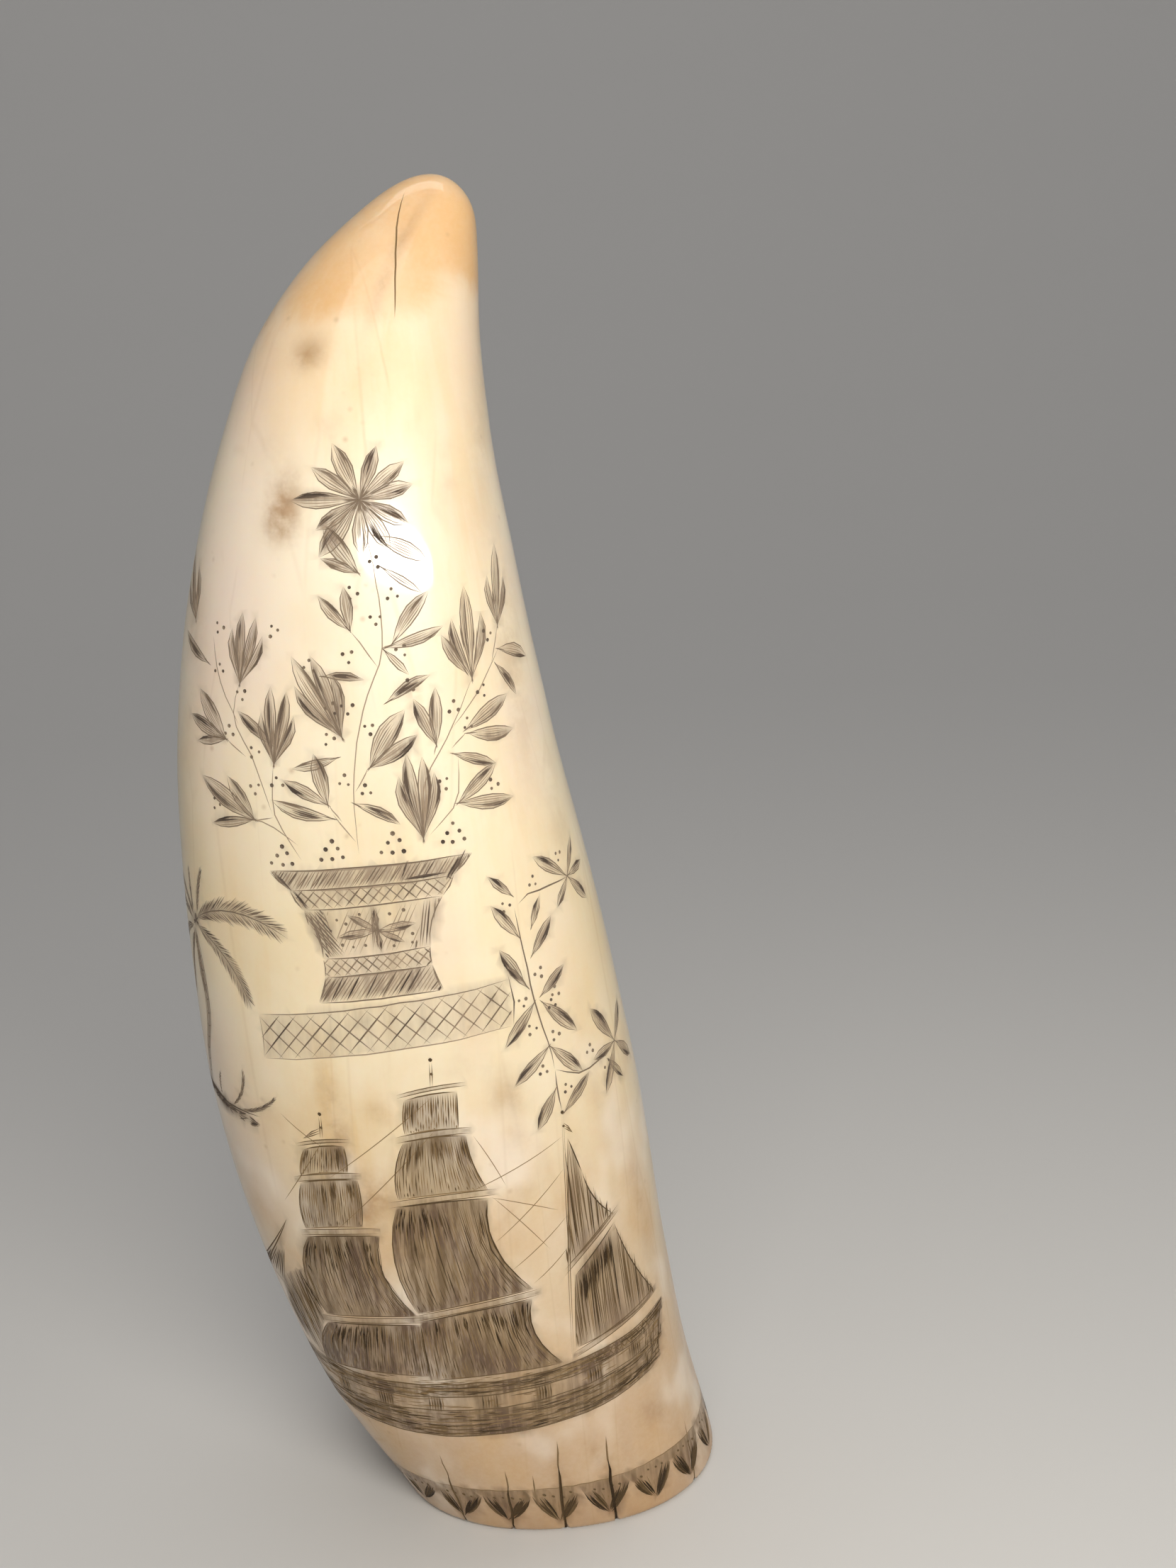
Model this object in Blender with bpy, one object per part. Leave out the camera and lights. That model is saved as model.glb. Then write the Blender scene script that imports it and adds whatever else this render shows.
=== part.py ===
"""Scrimshaw whale tooth: a polished sperm whale's tooth with an engraved and inked drawing.

One solid. It stands on its flat sawn base, leans and bows to -X and its tip hooks to +X.
The engraved face looks to -Y. The pulp cavity is open in the underside.
Lengths below are millimetres; the mesh is made in metres.
"""
import math

import bmesh
import bpy
import numpy as np
from mathutils import Vector
from mathutils.geometry import delaunay_2d_cdt

# ---------------------------------------------------------------- driving dimensions
MM = 0.001
HEIGHT = 165.0
# height, middle of the section across, half width of the section across
SECTIONS = (
    (0.0, 10.2, 20.9), (14.0, 4.7, 23.7), (32.0, 0.4, 25.7), (54.0, -3.0, 27.0),
    (78.0, -5.3, 25.8), (102.0, -6.7, 22.8), (122.0, -6.0, 19.4), (138.0, -4.2, 15.8),
    (150.0, -1.2, 12.5), (158.0, 2.8, 9.1), (162.5, 5.7, 5.5), (HEIGHT, 6.7, 0.0),
)
DEPTH_TO_WIDTH = 0.78     # every section is an oval, flatter front to back
SQUARENESS = 2.15         # superellipse exponent of the oval, 2 is an ellipse
TIP_FROM = 130.0          # above this the tooth tapers fast to its tip
RIM_RADIUS = 1.0          # rounding between the side and the sawn base
CELL = 6.0                # spacing of the plain surface's points
TIP_REACH = 45.0          # over this distance from the tip the points close up
SMALLEST_EDGE = 0.05      # points closer than this are joined

CAVITY_MOUTH = (13.0, 10.0)   # half width and half depth of the pulp cavity at the base
CAVITY_HEIGHT = 38.0
CAVITY_TIP = 2.2              # its half width at the top
CAVITY_SIDES = 28

LINE_WIDTH = 0.45         # of a main engraved line
SHORT = 5.0               # arcs below this length have one bend
LINE_DEPTH = 0.25
FINE_WIDTH = 0.34
FINE_DEPTH = 0.18
DOT_RADIUS = 0.42
CRACK_DEPTH = 0.5
DRAWING_MIDDLE = -7.0     # where the drawing's own zero lies across the tooth

BORDER_HEIGHT = 6.6       # the ring of leaf points above the rim
BORDER_PITCH = 6.3


# ---------------------------------------------------------------- form of the tooth
def smooth_through(knots, values, at):
    """Cubic curve through the knots, with the slopes that their neighbours give."""
    knots, values = np.asarray(knots, float), np.asarray(values, float)
    slopes = np.gradient(values, knots)
    place = np.clip(np.searchsorted(knots, at, side="right") - 1, 0, len(knots) - 2)
    span = knots[place + 1] - knots[place]
    s = (at - knots[place]) / span
    return ((1 + 2 * s) * (1 - s) ** 2 * values[place] + s * (1 - s) ** 2 * span * slopes[place]
            + s * s * (3 - 2 * s) * values[place + 1] - s * s * (1 - s) * span * slopes[place + 1])


def section(height):
    """Middle and half width of the horizontal section at a height."""
    heights, middles, halves = (np.array(column) for column in zip(*SECTIONS))
    height = np.asarray(height, float)
    middle = smooth_through(heights, middles, height)
    # the square of the width falls evenly to the tip, which rounds it
    half = np.sqrt(np.maximum(smooth_through(heights, halves ** 2, height), 0.0))
    rim = np.clip(RIM_RADIUS - height, 0.0, RIM_RADIUS)
    half = half - (RIM_RADIUS - np.sqrt(RIM_RADIUS ** 2 - rim ** 2))
    return middle, half


def unit_oval(steps=2000):
    """Oval of half width 1, with the share of its half girth from the front at each point."""
    turn = np.linspace(-math.pi, math.pi, 2 * steps + 1) - math.pi / 2
    across = np.sign(np.cos(turn)) * np.abs(np.cos(turn)) ** (2 / SQUARENESS)
    along = np.sign(np.sin(turn)) * np.abs(np.sin(turn)) ** (2 / SQUARENESS) * DEPTH_TO_WIDTH
    length = np.concatenate([[0], np.cumsum(np.hypot(np.diff(across), np.diff(along)))])
    half_girth = length[-1] / 2
    return (length - half_girth) / half_girth, across, along, half_girth


OVAL_SHARE, OVAL_ACROSS, OVAL_DEPTH, OVAL_HALF_GIRTH = unit_oval()


def climb_table():
    """Heights, and the way up the surface to each: the height itself below the tapering tip."""
    heights = np.linspace(0, HEIGHT, 3301)
    halves = section(heights)[1]
    steps = np.diff(heights)
    slanted = np.hypot(steps, np.diff(halves))
    steps = np.where(heights[1:] > TIP_FROM, slanted, steps)
    return heights, np.concatenate([[0], np.cumsum(steps)])


HEIGHTS, CLIMBS = climb_table()


def on_plane(x, z):
    """Point of the unrolled plane for a place in the drawing.

    The plane's own coordinates are the way round from the front line, and the climb.
    """
    return Vector((x + DRAWING_MIDDLE - float(section(z)[0]), float(np.interp(z, HEIGHTS, CLIMBS))))


def half_girth(climb):
    return float(section(np.interp(climb, CLIMBS, HEIGHTS))[1]) * OVAL_HALF_GIRTH


def wrap(way_round, climb):
    """Point of the surface under a point of the unrolled plane."""
    height = np.interp(climb, CLIMBS, HEIGHTS)
    middle, half = section(height)
    girth = np.maximum(half * OVAL_HALF_GIRTH, 1e-9)
    share = np.clip(way_round / girth, -1.0, 1.0)
    x = middle + half * np.interp(share, OVAL_SHARE, OVAL_ACROSS)
    y = half * np.interp(share, OVAL_SHARE, OVAL_DEPTH)
    return np.stack([x, y, height], axis=-1)


def outward(way_round, climb):
    """Unit normals of the surface, level at the foot so that the base stays flat."""
    step = 0.05
    high, low = np.minimum(climb + step, CLIMBS[-1]), np.maximum(climb - step, 0.0)
    rise = wrap(way_round, high) - wrap(way_round, low)
    run = wrap(way_round + step, climb) - wrap(way_round - step, climb)
    normal = np.cross(run, rise)
    normal[climb < RIM_RADIUS, 2] = 0.0
    return normal / np.maximum(np.linalg.norm(normal, axis=1, keepdims=True), 1e-12)


# ---------------------------------------------------------------- engraving tools
class Engraving:
    """Grooves on the unrolled plane: (x across, z height) points, greatest width and depth."""

    def __init__(self):
        self.cuts = []

    def line(self, points, width=LINE_WIDTH, depth=LINE_DEPTH, blunt_start=False):
        """Groove along the points that narrows to nothing at its ends."""
        path = [on_plane(x, z) for x, z in points]
        if len(path) == 2:
            path.insert(1, (path[0] + path[1]) / 2)
        widths = [0.0] + [width / 2] * (len(path) - 2) + [0.0]
        if blunt_start:
            widths[0] = width / 2
        self.cuts.append((path, widths, depth))

    def arc(self, start, end, sag, steps=3, **finish):
        """Groove from start to end that bows to its left by the sag."""
        (x0, z0), (x1, z1) = start, end
        length = math.hypot(x1 - x0, z1 - z0)
        if length < SHORT:
            steps = 2
        side = ((z0 - z1) / length, (x1 - x0) / length)
        points = []
        for k in range(steps + 1):
            s = k / steps
            bow = sag * 4 * s * (1 - s)
            points.append((x0 + s * (x1 - x0) + bow * side[0], z0 + s * (z1 - z0) + bow * side[1]))
        self.line(points, **finish)

    def stem(self, knots, spacing=2.5, **finish):
        """Groove on a smooth curve through a few knots."""
        knots = np.array(knots, float)
        reach = np.concatenate([[0], np.cumsum(np.hypot(*np.diff(knots, axis=0).T))])
        at = np.linspace(0, reach[-1], max(3, round(reach[-1] / spacing)) + 1)
        self.line(list(zip(smooth_through(reach, knots[:, 0], at),
                           smooth_through(reach, knots[:, 1], at))), **finish)

    def ring(self, x, z, radius, width=LINE_WIDTH, depth=LINE_DEPTH):
        """Pricked dot: a small four-sided pit."""
        middle = on_plane(x, z)
        reach = Vector((radius, 0))
        self.cuts.append(([middle - reach, middle, middle + reach], [0.0, radius, 0.0], depth))

    def leaf(self, base, tip, fullness=0.2):
        """Pointed leaf: two bowed edges and a rib."""
        length = math.dist(base, tip)
        self.arc(base, tip, fullness * length / 1.6)
        self.arc(base, tip, -fullness * length / 1.6)
        rib_end = (base[0] + 0.8 * (tip[0] - base[0]), base[1] + 0.8 * (tip[1] - base[1]))
        self.line([base, rib_end], FINE_WIDTH, FINE_DEPTH)

    def bud(self, base, tip):
        """Half-open bud: a middle petal between two that lean out."""
        length = math.dist(base, tip)
        heading = math.atan2(tip[1] - base[1], tip[0] - base[0])
        for lean, share in ((-0.34, 0.82), (0.34, 0.82), (0.0, 1.0)):
            petal = (base[0] + share * length * math.cos(heading + lean),
                     base[1] + share * length * math.sin(heading + lean))
            self.leaf(base, petal, 0.17)

    def star(self, middle, radius, petals, first=0.0):
        """Ring of pointed petals, long and short in turn."""
        for k in range(petals):
            heading = math.radians(first) + 2 * math.pi * k / petals
            inner, outer = 0.16 * radius, radius * (1.0 if k % 2 else 0.84)
            ray = (math.cos(heading), math.sin(heading))
            self.leaf((middle[0] + inner * ray[0], middle[1] + inner * ray[1]),
                      (middle[0] + outer * ray[0], middle[1] + outer * ray[1]), 0.18)

    def quad(self, corners, sags=(0, 0, 0, 0)):
        """Four-sided outline whose sides may bow outward, corners running clockwise."""
        for k in range(4):
            self.arc(corners[k], corners[(k + 1) % 4], sags[k])


# ---------------------------------------------------------------- the drawing
STEMS = (
    ((1, 91), (1, 98), (3, 107), (5.5, 113), (5.2, 121), (4.4, 127)),
    ((8, 91), (9, 99), (12.5, 104), (15.5, 109)),
    ((-5.5, 91), (-8.5, 96), (-8, 101)),
    ((-9, 96), (-10.5, 102), (-12.5, 107), (-11.5, 110)),
    ((9, 92), (12.5, 95.5), (13, 100)),
    ((0.8, 92), (-1.5, 95.5)),
    ((12.5, 104), (16, 107), (20, 112)),
    ((-12, 106), (-14.5, 111), (-15, 115)),
)
# base and tip of each leaf of the bouquet
BOUQUET_LEAVES = (
    ((3.5, 121.5), (0, 127)), ((3.5, 121.5), (-0.5, 123.5)), ((5.5, 125), (11, 122)),
    ((2, 115.5), (-1, 119)), ((2, 115.5), (1.5, 120)),
    ((5.5, 113), (11, 119)), ((5.5, 113), (12.5, 115)), ((5.5, 113), (8, 110)),
    ((15, 109.5), (12, 114)), ((19, 111.5), (25.5, 110)), ((19, 110), (22, 106)),
    ((-1.5, 110.5), (3, 110)), ((5.5, 107.5), (10.5, 109.5)),
    ((-8, 103.5), (-12, 107)), ((-14, 104), (-18, 109.5)), ((-14, 104), (-20, 106.5)),
    ((-10.5, 95), (-18.5, 99.5)), ((-10.5, 95), (-14.5, 99.5)), ((-10.5, 95), (-17, 94.5)),
    ((-1.5, 95), (-8.5, 97)), ((-2, 96.5), (-7, 99.5)), ((-2, 96.5), (-3, 102)),
    ((1, 96.5), (6, 93.5)), ((3, 100), (7.5, 106)), ((3, 100), (8.5, 103)),
    ((10.5, 102), (8.5, 107)), ((10.5, 102), (11, 108)),
    ((14.5, 102.5), (20.5, 106)), ((14.5, 102.5), (20.5, 102)),
    ((13, 100.5), (17.5, 99.5)), ((12.5, 95), (17.5, 98.5)), ((12.5, 95), (20, 94.5)),
)
BOUQUET_BUDS = (
    ((-11.5, 110), (-9, 118.5)), ((-8, 101), (-6.5, 110)), ((15.5, 109), (15.5, 119.5)),
    ((20, 112), (21, 120)), ((0, 104), (-3, 112.5)), ((8.5, 92), (8, 102)),
)
SPRAY_STEMS = (
    ((21.5, 60), (20, 70), (19, 76), (20.5, 80.5), (24, 83), (27.5, 84.5)),
    ((21.5, 60), (27, 61), (32.5, 63)),
)
SPRAY_LEAVES = (
    ((20, 82), (15.5, 86)), ((18.5, 79), (15.5, 83)), ((20, 80.5), (21.5, 85)),
    ((20, 77), (24, 80.5)), ((19, 74.5), (16, 78)), ((20, 71), (25, 74)),
    ((20, 70), (15.5, 66)), ((20.5, 69), (26, 66)), ((21, 65), (16.5, 61.5)),
    ((21.5, 65), (26, 61)), ((24, 60.5), (21, 54.5)), ((28, 61), (29, 56)),
)
RIM_DOTS_AT = (-8.0, -2.0, 4.8, 11.6)    # dot clusters that stand on the urn's rim


def bouquet(ink):
    for knots in STEMS:
        ink.stem(knots)
    for base, tip in BOUQUET_LEAVES:
        ink.leaf(base, tip)
    for base, tip in BOUQUET_BUDS:
        ink.bud(base, tip)
    ink.star((4.2, 130), 6.8, 12)
    for x in RIM_DOTS_AT:
        for dx, dz in ((-1.1, 0), (0.1, 0), (1.2, 0.1), (-0.5, 1.0), (0.7, 1.1), (0.1, 2.0)):
            ink.ring(x + dx, 90.6 + dz, DOT_RADIUS)


def urn(ink):
    """Wide-rimmed urn: rim band, tapering shoulder, waist and spread foot."""
    middle = 2.0
    # height and half width at the urn's levels, from the rim down to the foot
    levels = ((89.6, 11.6), (87.2, 9.7), (84.8, 7.8), (79.4, 5.9), (77.0, 5.9), (74.4, 7.0))
    for height, half in levels:
        ink.line([(middle - half, height), (middle, height + 0.15), (middle + half, height + 0.3)])
    for side in (-1, 1):
        for (z0, half0), (z1, half1) in zip(levels, levels[1:]):
            ink.line([(middle + side * half0, z0), (middle + side * half1, z1)])
    lean = 1.6
    for k in range(7):
        x = middle - 9.0 + 2.7 * k
        ink.line([(x, 87.4), (x + lean, 89.4)], FINE_WIDTH, FINE_DEPTH)
    for base, tip in (((0, 80), (-2.5, 83.5)), ((2, 79.8), (2.2, 84.3)), ((4, 80), (6.5, 83.5))):
        ink.leaf(base, tip)


def plinth(ink):
    """Slanting band of lattice under the urn."""
    left, right, low, high, slope, pitch = -13.0, 17.0, 67.0, 72.2, 0.065, 2.9

    def at(x, z):
        return x, z + slope * (x - left)
    for z in (low, high):
        ink.line([at(left, z), at((left + right) / 2, z), at(right, z)])
    count = int((right - left) / pitch)
    for k in range(count):
        x = left + pitch * k
        ink.line([at(x, low), at(x + pitch, high)], FINE_WIDTH, FINE_DEPTH)
        ink.line([at(x + pitch, low), at(x, high)], FINE_WIDTH, FINE_DEPTH)
    ink.line([at(left, low), at(left, high)])
    ink.line([at(right, low), at(right, high)])


def palm(ink):
    """Drooping palm on a strip of ground, at the left."""
    crown = (-22.5, 80.5)
    for tip, sag in (((-9.5, 82.5), 2.6), ((-14, 73), 2.4), ((-19.5, 88), 0.6), ((-23, 70), 0.8),
                     ((-28, 87), -0.8), ((-33, 82), -2.4), ((-31, 74), -2.4)):
        ink.arc(crown, tip, sag, 5)
        ink.arc(crown, tip, sag * 0.55, 4)
    ink.arc((-26.5, 62), crown, 0.8, 4)
    ink.arc((-24.5, 62), crown, 0.4, 4)
    ink.arc((-33, 60.5), (-12.5, 62), 0.8, 6)


def spray(ink):
    """Branch with two star-shaped clusters, at the right."""
    for knots in SPRAY_STEMS:
        ink.stem(knots)
    for base, tip in SPRAY_LEAVES:
        ink.leaf(base, tip)
    ink.star((27.5, 84.5), 5.5, 6, 20)
    ink.star((32.5, 63), 5.5, 6, 45)


# a square sail is (top, foot, top left, top right, foot left, foot right)
FORE_SAILS = ((56, 52.6, -9, -4.5, -10, -3.6), (51, 45.8, -9.5, -3.2, -10.8, -2.6),
              (44.6, 34.6, -10.4, -1.6, -12.6, -0.6), (33.4, 25.8, -11.6, 0.6, -12.8, 0))
MAIN_SAILS = ((62, 57.6, 4.4, 9.6, 3.4, 9.8), (56.4, 49.8, 3, 10.2, 2, 10.6),
              (48.2, 35.6, 2.2, 11.8, 0.4, 15), (34.2, 25.8, 1.8, 15.4, 2.6, 19))


def ship(ink):
    """Three-masted ship under sail: square sails on two masts, gaff sails on the third."""
    for x, top in ((-6.6, 59.5), (6.9, 64), (21.8, 57)):
        ink.line([(x, top), (x - 0.1, (top + 25) / 2), (x, 25)])
    for sails in (FORE_SAILS, MAIN_SAILS):
        for top, foot, left_top, right_top, left_foot, right_foot in sails:
            ink.quad(((left_top, top), (right_top, top), (right_foot, foot), (left_foot, foot)),
                     (0.15, -0.5, 0.3, -0.5))
            ink.line([(left_foot - 1.2, foot - 0.9), (right_foot + 1.2, foot - 0.7)])
    ink.quad(((21.8, 54.5), (23, 52), (28.4, 42), (21, 38.5)), (0, 0.6, 0, 0))
    ink.quad(((21, 37.5), (28.2, 41), (34.2, 28), (21, 25.8)), (0, 0.8, 0, 0))
    # jibs along the bowsprit
    ink.arc((-20, 26), (-31, 33), 0.3, 4)
    ink.arc((-12.5, 46), (-30, 33.5), 2.2, 5)
    ink.arc((-12.5, 46), (-17, 30), 0.9, 4)
    ink.arc((-17, 30), (-30, 33.5), 1.2, 4)
    # hull: deck line, two strakes, keel and the two ends
    ink.stem(((-21, 26), (-10, 24.4), (8, 24.2), (24, 25), (34, 26.4)), 5)
    ink.stem(((-20, 23.6), (-8, 22.4), (8, 22.2), (24, 22.8), (34.6, 24)), 5)
    ink.stem(((-18, 21), (-6, 20), (8, 19.8), (24, 20.4), (34.6, 21.6)), 5)
    ink.stem(((-15, 18.4), (-4, 16.8), (8, 16.4), (22, 17.6), (32, 19.2)), 5)
    ink.arc((-21, 26), (-15, 18.4), -0.8, 4)
    ink.arc((32, 19.2), (34, 26.4), -1.0, 4)
    for k in range(9):
        x = -12 + 5.2 * k
        z = 20.9 + 0.02 * max(x, 0)
        ink.ring(x, z, 0.5)


def border(ink):
    """Ring of leaf points round the foot, under a line."""
    foot_girth = float(section(BORDER_HEIGHT)[1]) * OVAL_HALF_GIRTH
    middle = float(section(BORDER_HEIGHT)[0]) - DRAWING_MIDDLE
    count = int(2 * foot_girth / BORDER_PITCH)
    pitch = (2 * foot_girth - 2) / count
    first = middle - foot_girth + 1
    steps = 36
    ink.line([(first + k * pitch * count / steps, BORDER_HEIGHT) for k in range(steps + 1)])
    lean = float(section(0)[0] - section(BORDER_HEIGHT)[0])
    for k in range(count):
        x = first + (k + 0.5) * pitch
        point = (x + 0.8 * lean, 1.4)
        ink.arc((x - pitch / 2 + 0.3, BORDER_HEIGHT - 0.5), point, 0.5)
        ink.arc((x + pitch / 2 - 0.3, BORDER_HEIGHT - 0.5), point, -0.5)
        ink.line([(x, BORDER_HEIGHT - 0.9), (x + 0.65 * lean, 2.4)], FINE_WIDTH, FINE_DEPTH)


def age_cracks(ink):
    """Drying cracks that rise from the rim, and one in the tip."""
    for x, top in ((4.6, 10.5), (12.2, 9.0), (18.5, 13.0), (24.8, 10.0)):
        ink.line([(x + 1.9, 0.0), (x + 1.2, 3.5), (x + 0.4, 7.0), (x, top)], 0.3, CRACK_DEPTH,
                 blunt_start=True)
    ink.stem(((12.2, 163.0), (10.9, 158.5), (9.8, 153.0), (9.6, 148.5)), 3.5,
             width=0.3, depth=CRACK_DEPTH)


def engrave():
    ink = Engraving()
    for motif in (bouquet, urn, plinth, palm, spray, ship, border, age_cracks):
        motif(ink)
    return ink.cuts


# ---------------------------------------------------------------- carved skin
def cell_at(climb):
    """Spacing of the plain surface's points, closer towards the tip."""
    return CELL * min(1.0, 0.25 + (CLIMBS[-1] - climb) / TIP_REACH)


def surface_rows():
    """Rows of surface points on the unrolled plane."""
    rows = [0.0, 0.3 * RIM_RADIUS, RIM_RADIUS]
    while rows[-1] < CLIMBS[-1] - 0.8 * cell_at(rows[-1]):
        rows.append(rows[-1] + 0.87 * cell_at(rows[-1]))
    return rows[:-1]


def plain_points(rows):
    """Inner points of the plain surface on the unrolled plane, staggered row by row."""
    points = []
    for k, climb in enumerate(rows):
        girth = half_girth(climb)
        count = max(12, round(2 * girth / cell_at(climb)))
        offset = 0.5 if k % 2 else 0.0
        for j in range(1 if offset == 0 else 0, count):
            points.append((girth * (-1 + 2 * (j + offset) / count), climb))
    return points


def seam_points(rows, side):
    """Points of the back seam, at the left or right edge of the unrolled plane."""
    return [Vector((side * half_girth(climb), climb)) for climb in rows]


def groove_shape(path, half_widths):
    """Closed outline of a groove and the run of its bottom line."""
    left, right = [], []
    for k, (point, half) in enumerate(zip(path, half_widths)):
        if half == 0.0:
            continue
        ahead = (path[min(k + 1, len(path) - 1)] - path[max(k - 1, 0)]).normalized()
        side = Vector((-ahead.y, ahead.x)) * half
        if point.y < 1e-6:
            side.y = 0.0
        left.append(point + side)
        right.append(point - side)
    start = [path[0]] if half_widths[0] == 0.0 else []
    return start + right + [path[-1]] + left[::-1]


def depth_in_groove(point, path, half_widths, depth):
    """Depth of a V groove at a point of the unrolled plane."""
    best = 0.0
    for a, b, half_a, half_b in zip(path, path[1:], half_widths, half_widths[1:]):
        run = b - a
        s = min(max((point - a).dot(run) / run.length_squared, 0.0), 1.0)
        half = half_a + s * (half_b - half_a)
        away = (point - (a + run * s)).length
        if half > 0.0 and away < half:
            fall = 1.0 - away / half
            best = max(best, depth * fall * min(1.0, half / max(half_widths) * 1.2))
    return best


def far_from_grooves(points, cuts, clearance):
    """Plain points that leave room for the grooves."""
    points = np.array(points)
    keep = np.ones(len(points), bool)
    for path, half_widths, _ in cuts:
        for a, b in zip(path, path[1:]):
            run = np.array(b - a)
            s = np.clip(((points - np.array(a)) @ run) / (run @ run), 0, 1)
            away = np.linalg.norm(points - np.array(a) - s[:, None] * run, axis=1)
            keep &= away > clearance
    return [Vector(point) for point in points[keep]]


def carved_skin(cuts):
    """Side of the tooth: the unrolled plane is triangulated round the grooves and wrapped."""
    rows = surface_rows()
    right, left = seam_points(rows, 1), seam_points(rows, -1)
    tip = Vector((0.0, CLIMBS[-1]))
    plain = plain_points(rows)
    foot = [Vector(point) for point in plain if point[1] == 0.0]
    plane = foot + right + [tip] + left[::-1]
    outline = list(range(len(plane)))
    plane += far_from_grooves([point for point in plain if point[1] > 0.0], cuts, 0.9)
    runs, shapes = [], [outline]
    for path, half_widths, _ in cuts:
        shape = groove_shape(path, half_widths)
        shapes.append(list(range(len(plane), len(plane) + len(shape))))
        plane += shape
        runs += [(len(plane) + k, len(plane) + k + 1) for k in range(len(path) - 1)]
        plane += path
    flat, _, faces, _, _, faces_from = delaunay_2d_cdt(plane, runs, shapes, 1, 0.02, True)
    inside = [[source for source in sources] for sources in faces_from]
    touching = [set() for _ in flat]
    for face, sources in zip(faces, inside):
        for corner in face:
            touching[corner].update(source - 1 for source in sources if source > 0)
    depths = np.array([max([depth_in_groove(point, *cuts[k]) for k in near], default=0.0)
                       for point, near in zip(flat, touching)])
    way_round = np.array([point.x for point in flat])
    climb = np.array([point.y for point in flat])
    skin = wrap(way_round, climb) - outward(way_round, climb) * depths[:, None]
    kept, inked = [], []
    for face, sources in zip(faces, inside):
        if 0 in sources:
            kept.append(tuple(face))
            inked.append(any(source > 0 for source in sources))
    edges = right + left + [tip]
    on_seam = [index for index, point in enumerate(flat)
               if min((point - edge).length for edge in edges) < 0.03]
    return skin, kept, inked, on_seam


# ---------------------------------------------------------------- finishes
def finish(name, colour, roughness):
    material = bpy.data.materials.new(name)
    material.use_nodes = True
    shader = material.node_tree.nodes["Principled BSDF"]
    shader.inputs["Base Color"].default_value = (*colour, 1.0)
    shader.inputs["Roughness"].default_value = roughness
    shader.inputs["Metallic"].default_value = 0.0
    material.diffuse_color = (*colour, 1.0)
    return material


# ---------------------------------------------------------------- the solid
def tooth_solid(collection):
    skin, faces, inked, on_seam = carved_skin(engrave())
    bm = bmesh.new()
    corners = [bm.verts.new(Vector(point) * MM) for point in skin]
    for face, is_inked in zip(faces, inked):
        made = bm.faces.new([corners[index] for index in face])
        made.material_index = 1 if is_inked else 0
    bmesh.ops.remove_doubles(bm, verts=[corners[index] for index in on_seam], dist=0.00002)
    bmesh.ops.remove_doubles(bm, verts=bm.verts, dist=SMALLEST_EDGE * MM)
    bmesh.ops.delete(bm, geom=[vert for vert in bm.verts if not vert.link_faces], context="VERTS")
    rim = [edge for edge in bm.edges if edge.is_boundary]
    base = bmesh.ops.edgeloop_fill(bm, edges=rim)["faces"]
    bmesh.ops.triangulate(bm, faces=base)
    bmesh.ops.recalc_face_normals(bm, faces=bm.faces)
    mesh = bpy.data.meshes.new("whale_tooth")
    bm.to_mesh(mesh)
    bm.free()
    mesh.materials.append(finish("polished_ivory", (0.86, 0.72, 0.50), 0.28))
    mesh.materials.append(finish("inked_lines", (0.07, 0.055, 0.045), 0.6))
    mesh.shade_smooth()
    mesh.set_sharp_from_angle(angle=math.radians(35))
    tooth = bpy.data.objects.new("whale_tooth", mesh)
    collection.objects.link(tooth)
    return tooth


def cavity_cutter(collection):
    """Oval cone that follows the lean of the tooth, with a blunt top."""
    bm = bmesh.new()
    below = 4.0
    length = CAVITY_HEIGHT + below
    bmesh.ops.create_cone(bm, segments=CAVITY_SIDES, radius1=1.0, radius2=CAVITY_TIP / CAVITY_MOUTH[0],
                          depth=length * MM, cap_ends=True)
    start = float(section(0.0)[0])
    lean = float(section(CAVITY_HEIGHT)[0]) - start
    for vert in bm.verts:
        height = vert.co.z / MM + length / 2 - below
        spread = 1.0 + below / CAVITY_HEIGHT * 0.8 if height < 0 else 1.0
        middle = start + lean * height / CAVITY_HEIGHT
        vert.co = Vector((middle + vert.co.x * CAVITY_MOUTH[0] * spread,
                          vert.co.y * CAVITY_MOUTH[1] * spread, height)) * MM
    top = [face for face in bm.faces if face.calc_center_median().z > 0.9 * CAVITY_HEIGHT * MM
           and len(face.verts) > 4]
    bmesh.ops.bevel(bm, geom=[edge for face in top for edge in face.edges], offset=1.2 * MM,
                    segments=2, affect="EDGES", profile=0.5)
    mesh = bpy.data.meshes.new("pulp_cavity_cutter")
    bm.to_mesh(mesh)
    bm.free()
    cutter = bpy.data.objects.new("pulp_cavity_cutter", mesh)
    cutter.hide_render = True
    cutter.display_type = "WIRE"
    collection.objects.link(cutter)
    return cutter


def main():
    for old in list(bpy.data.objects):
        bpy.data.objects.remove(old, do_unlink=True)
    parts = bpy.data.collections.new("scrimshaw whale tooth")
    cutters = bpy.data.collections.new("cutters")
    for collection in (parts, cutters):
        bpy.context.scene.collection.children.link(collection)
    tooth = tooth_solid(parts)
    hollow = tooth.modifiers.new("pulp cavity", "BOOLEAN")
    hollow.operation = "DIFFERENCE"
    hollow.solver = "EXACT"
    hollow.object = cavity_cutter(cutters)


main()
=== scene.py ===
import math
import random

import bpy
import numpy as np
from mathutils import Matrix, Quaternion, Vector
from mathutils.geometry import delaunay_2d_cdt


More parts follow.
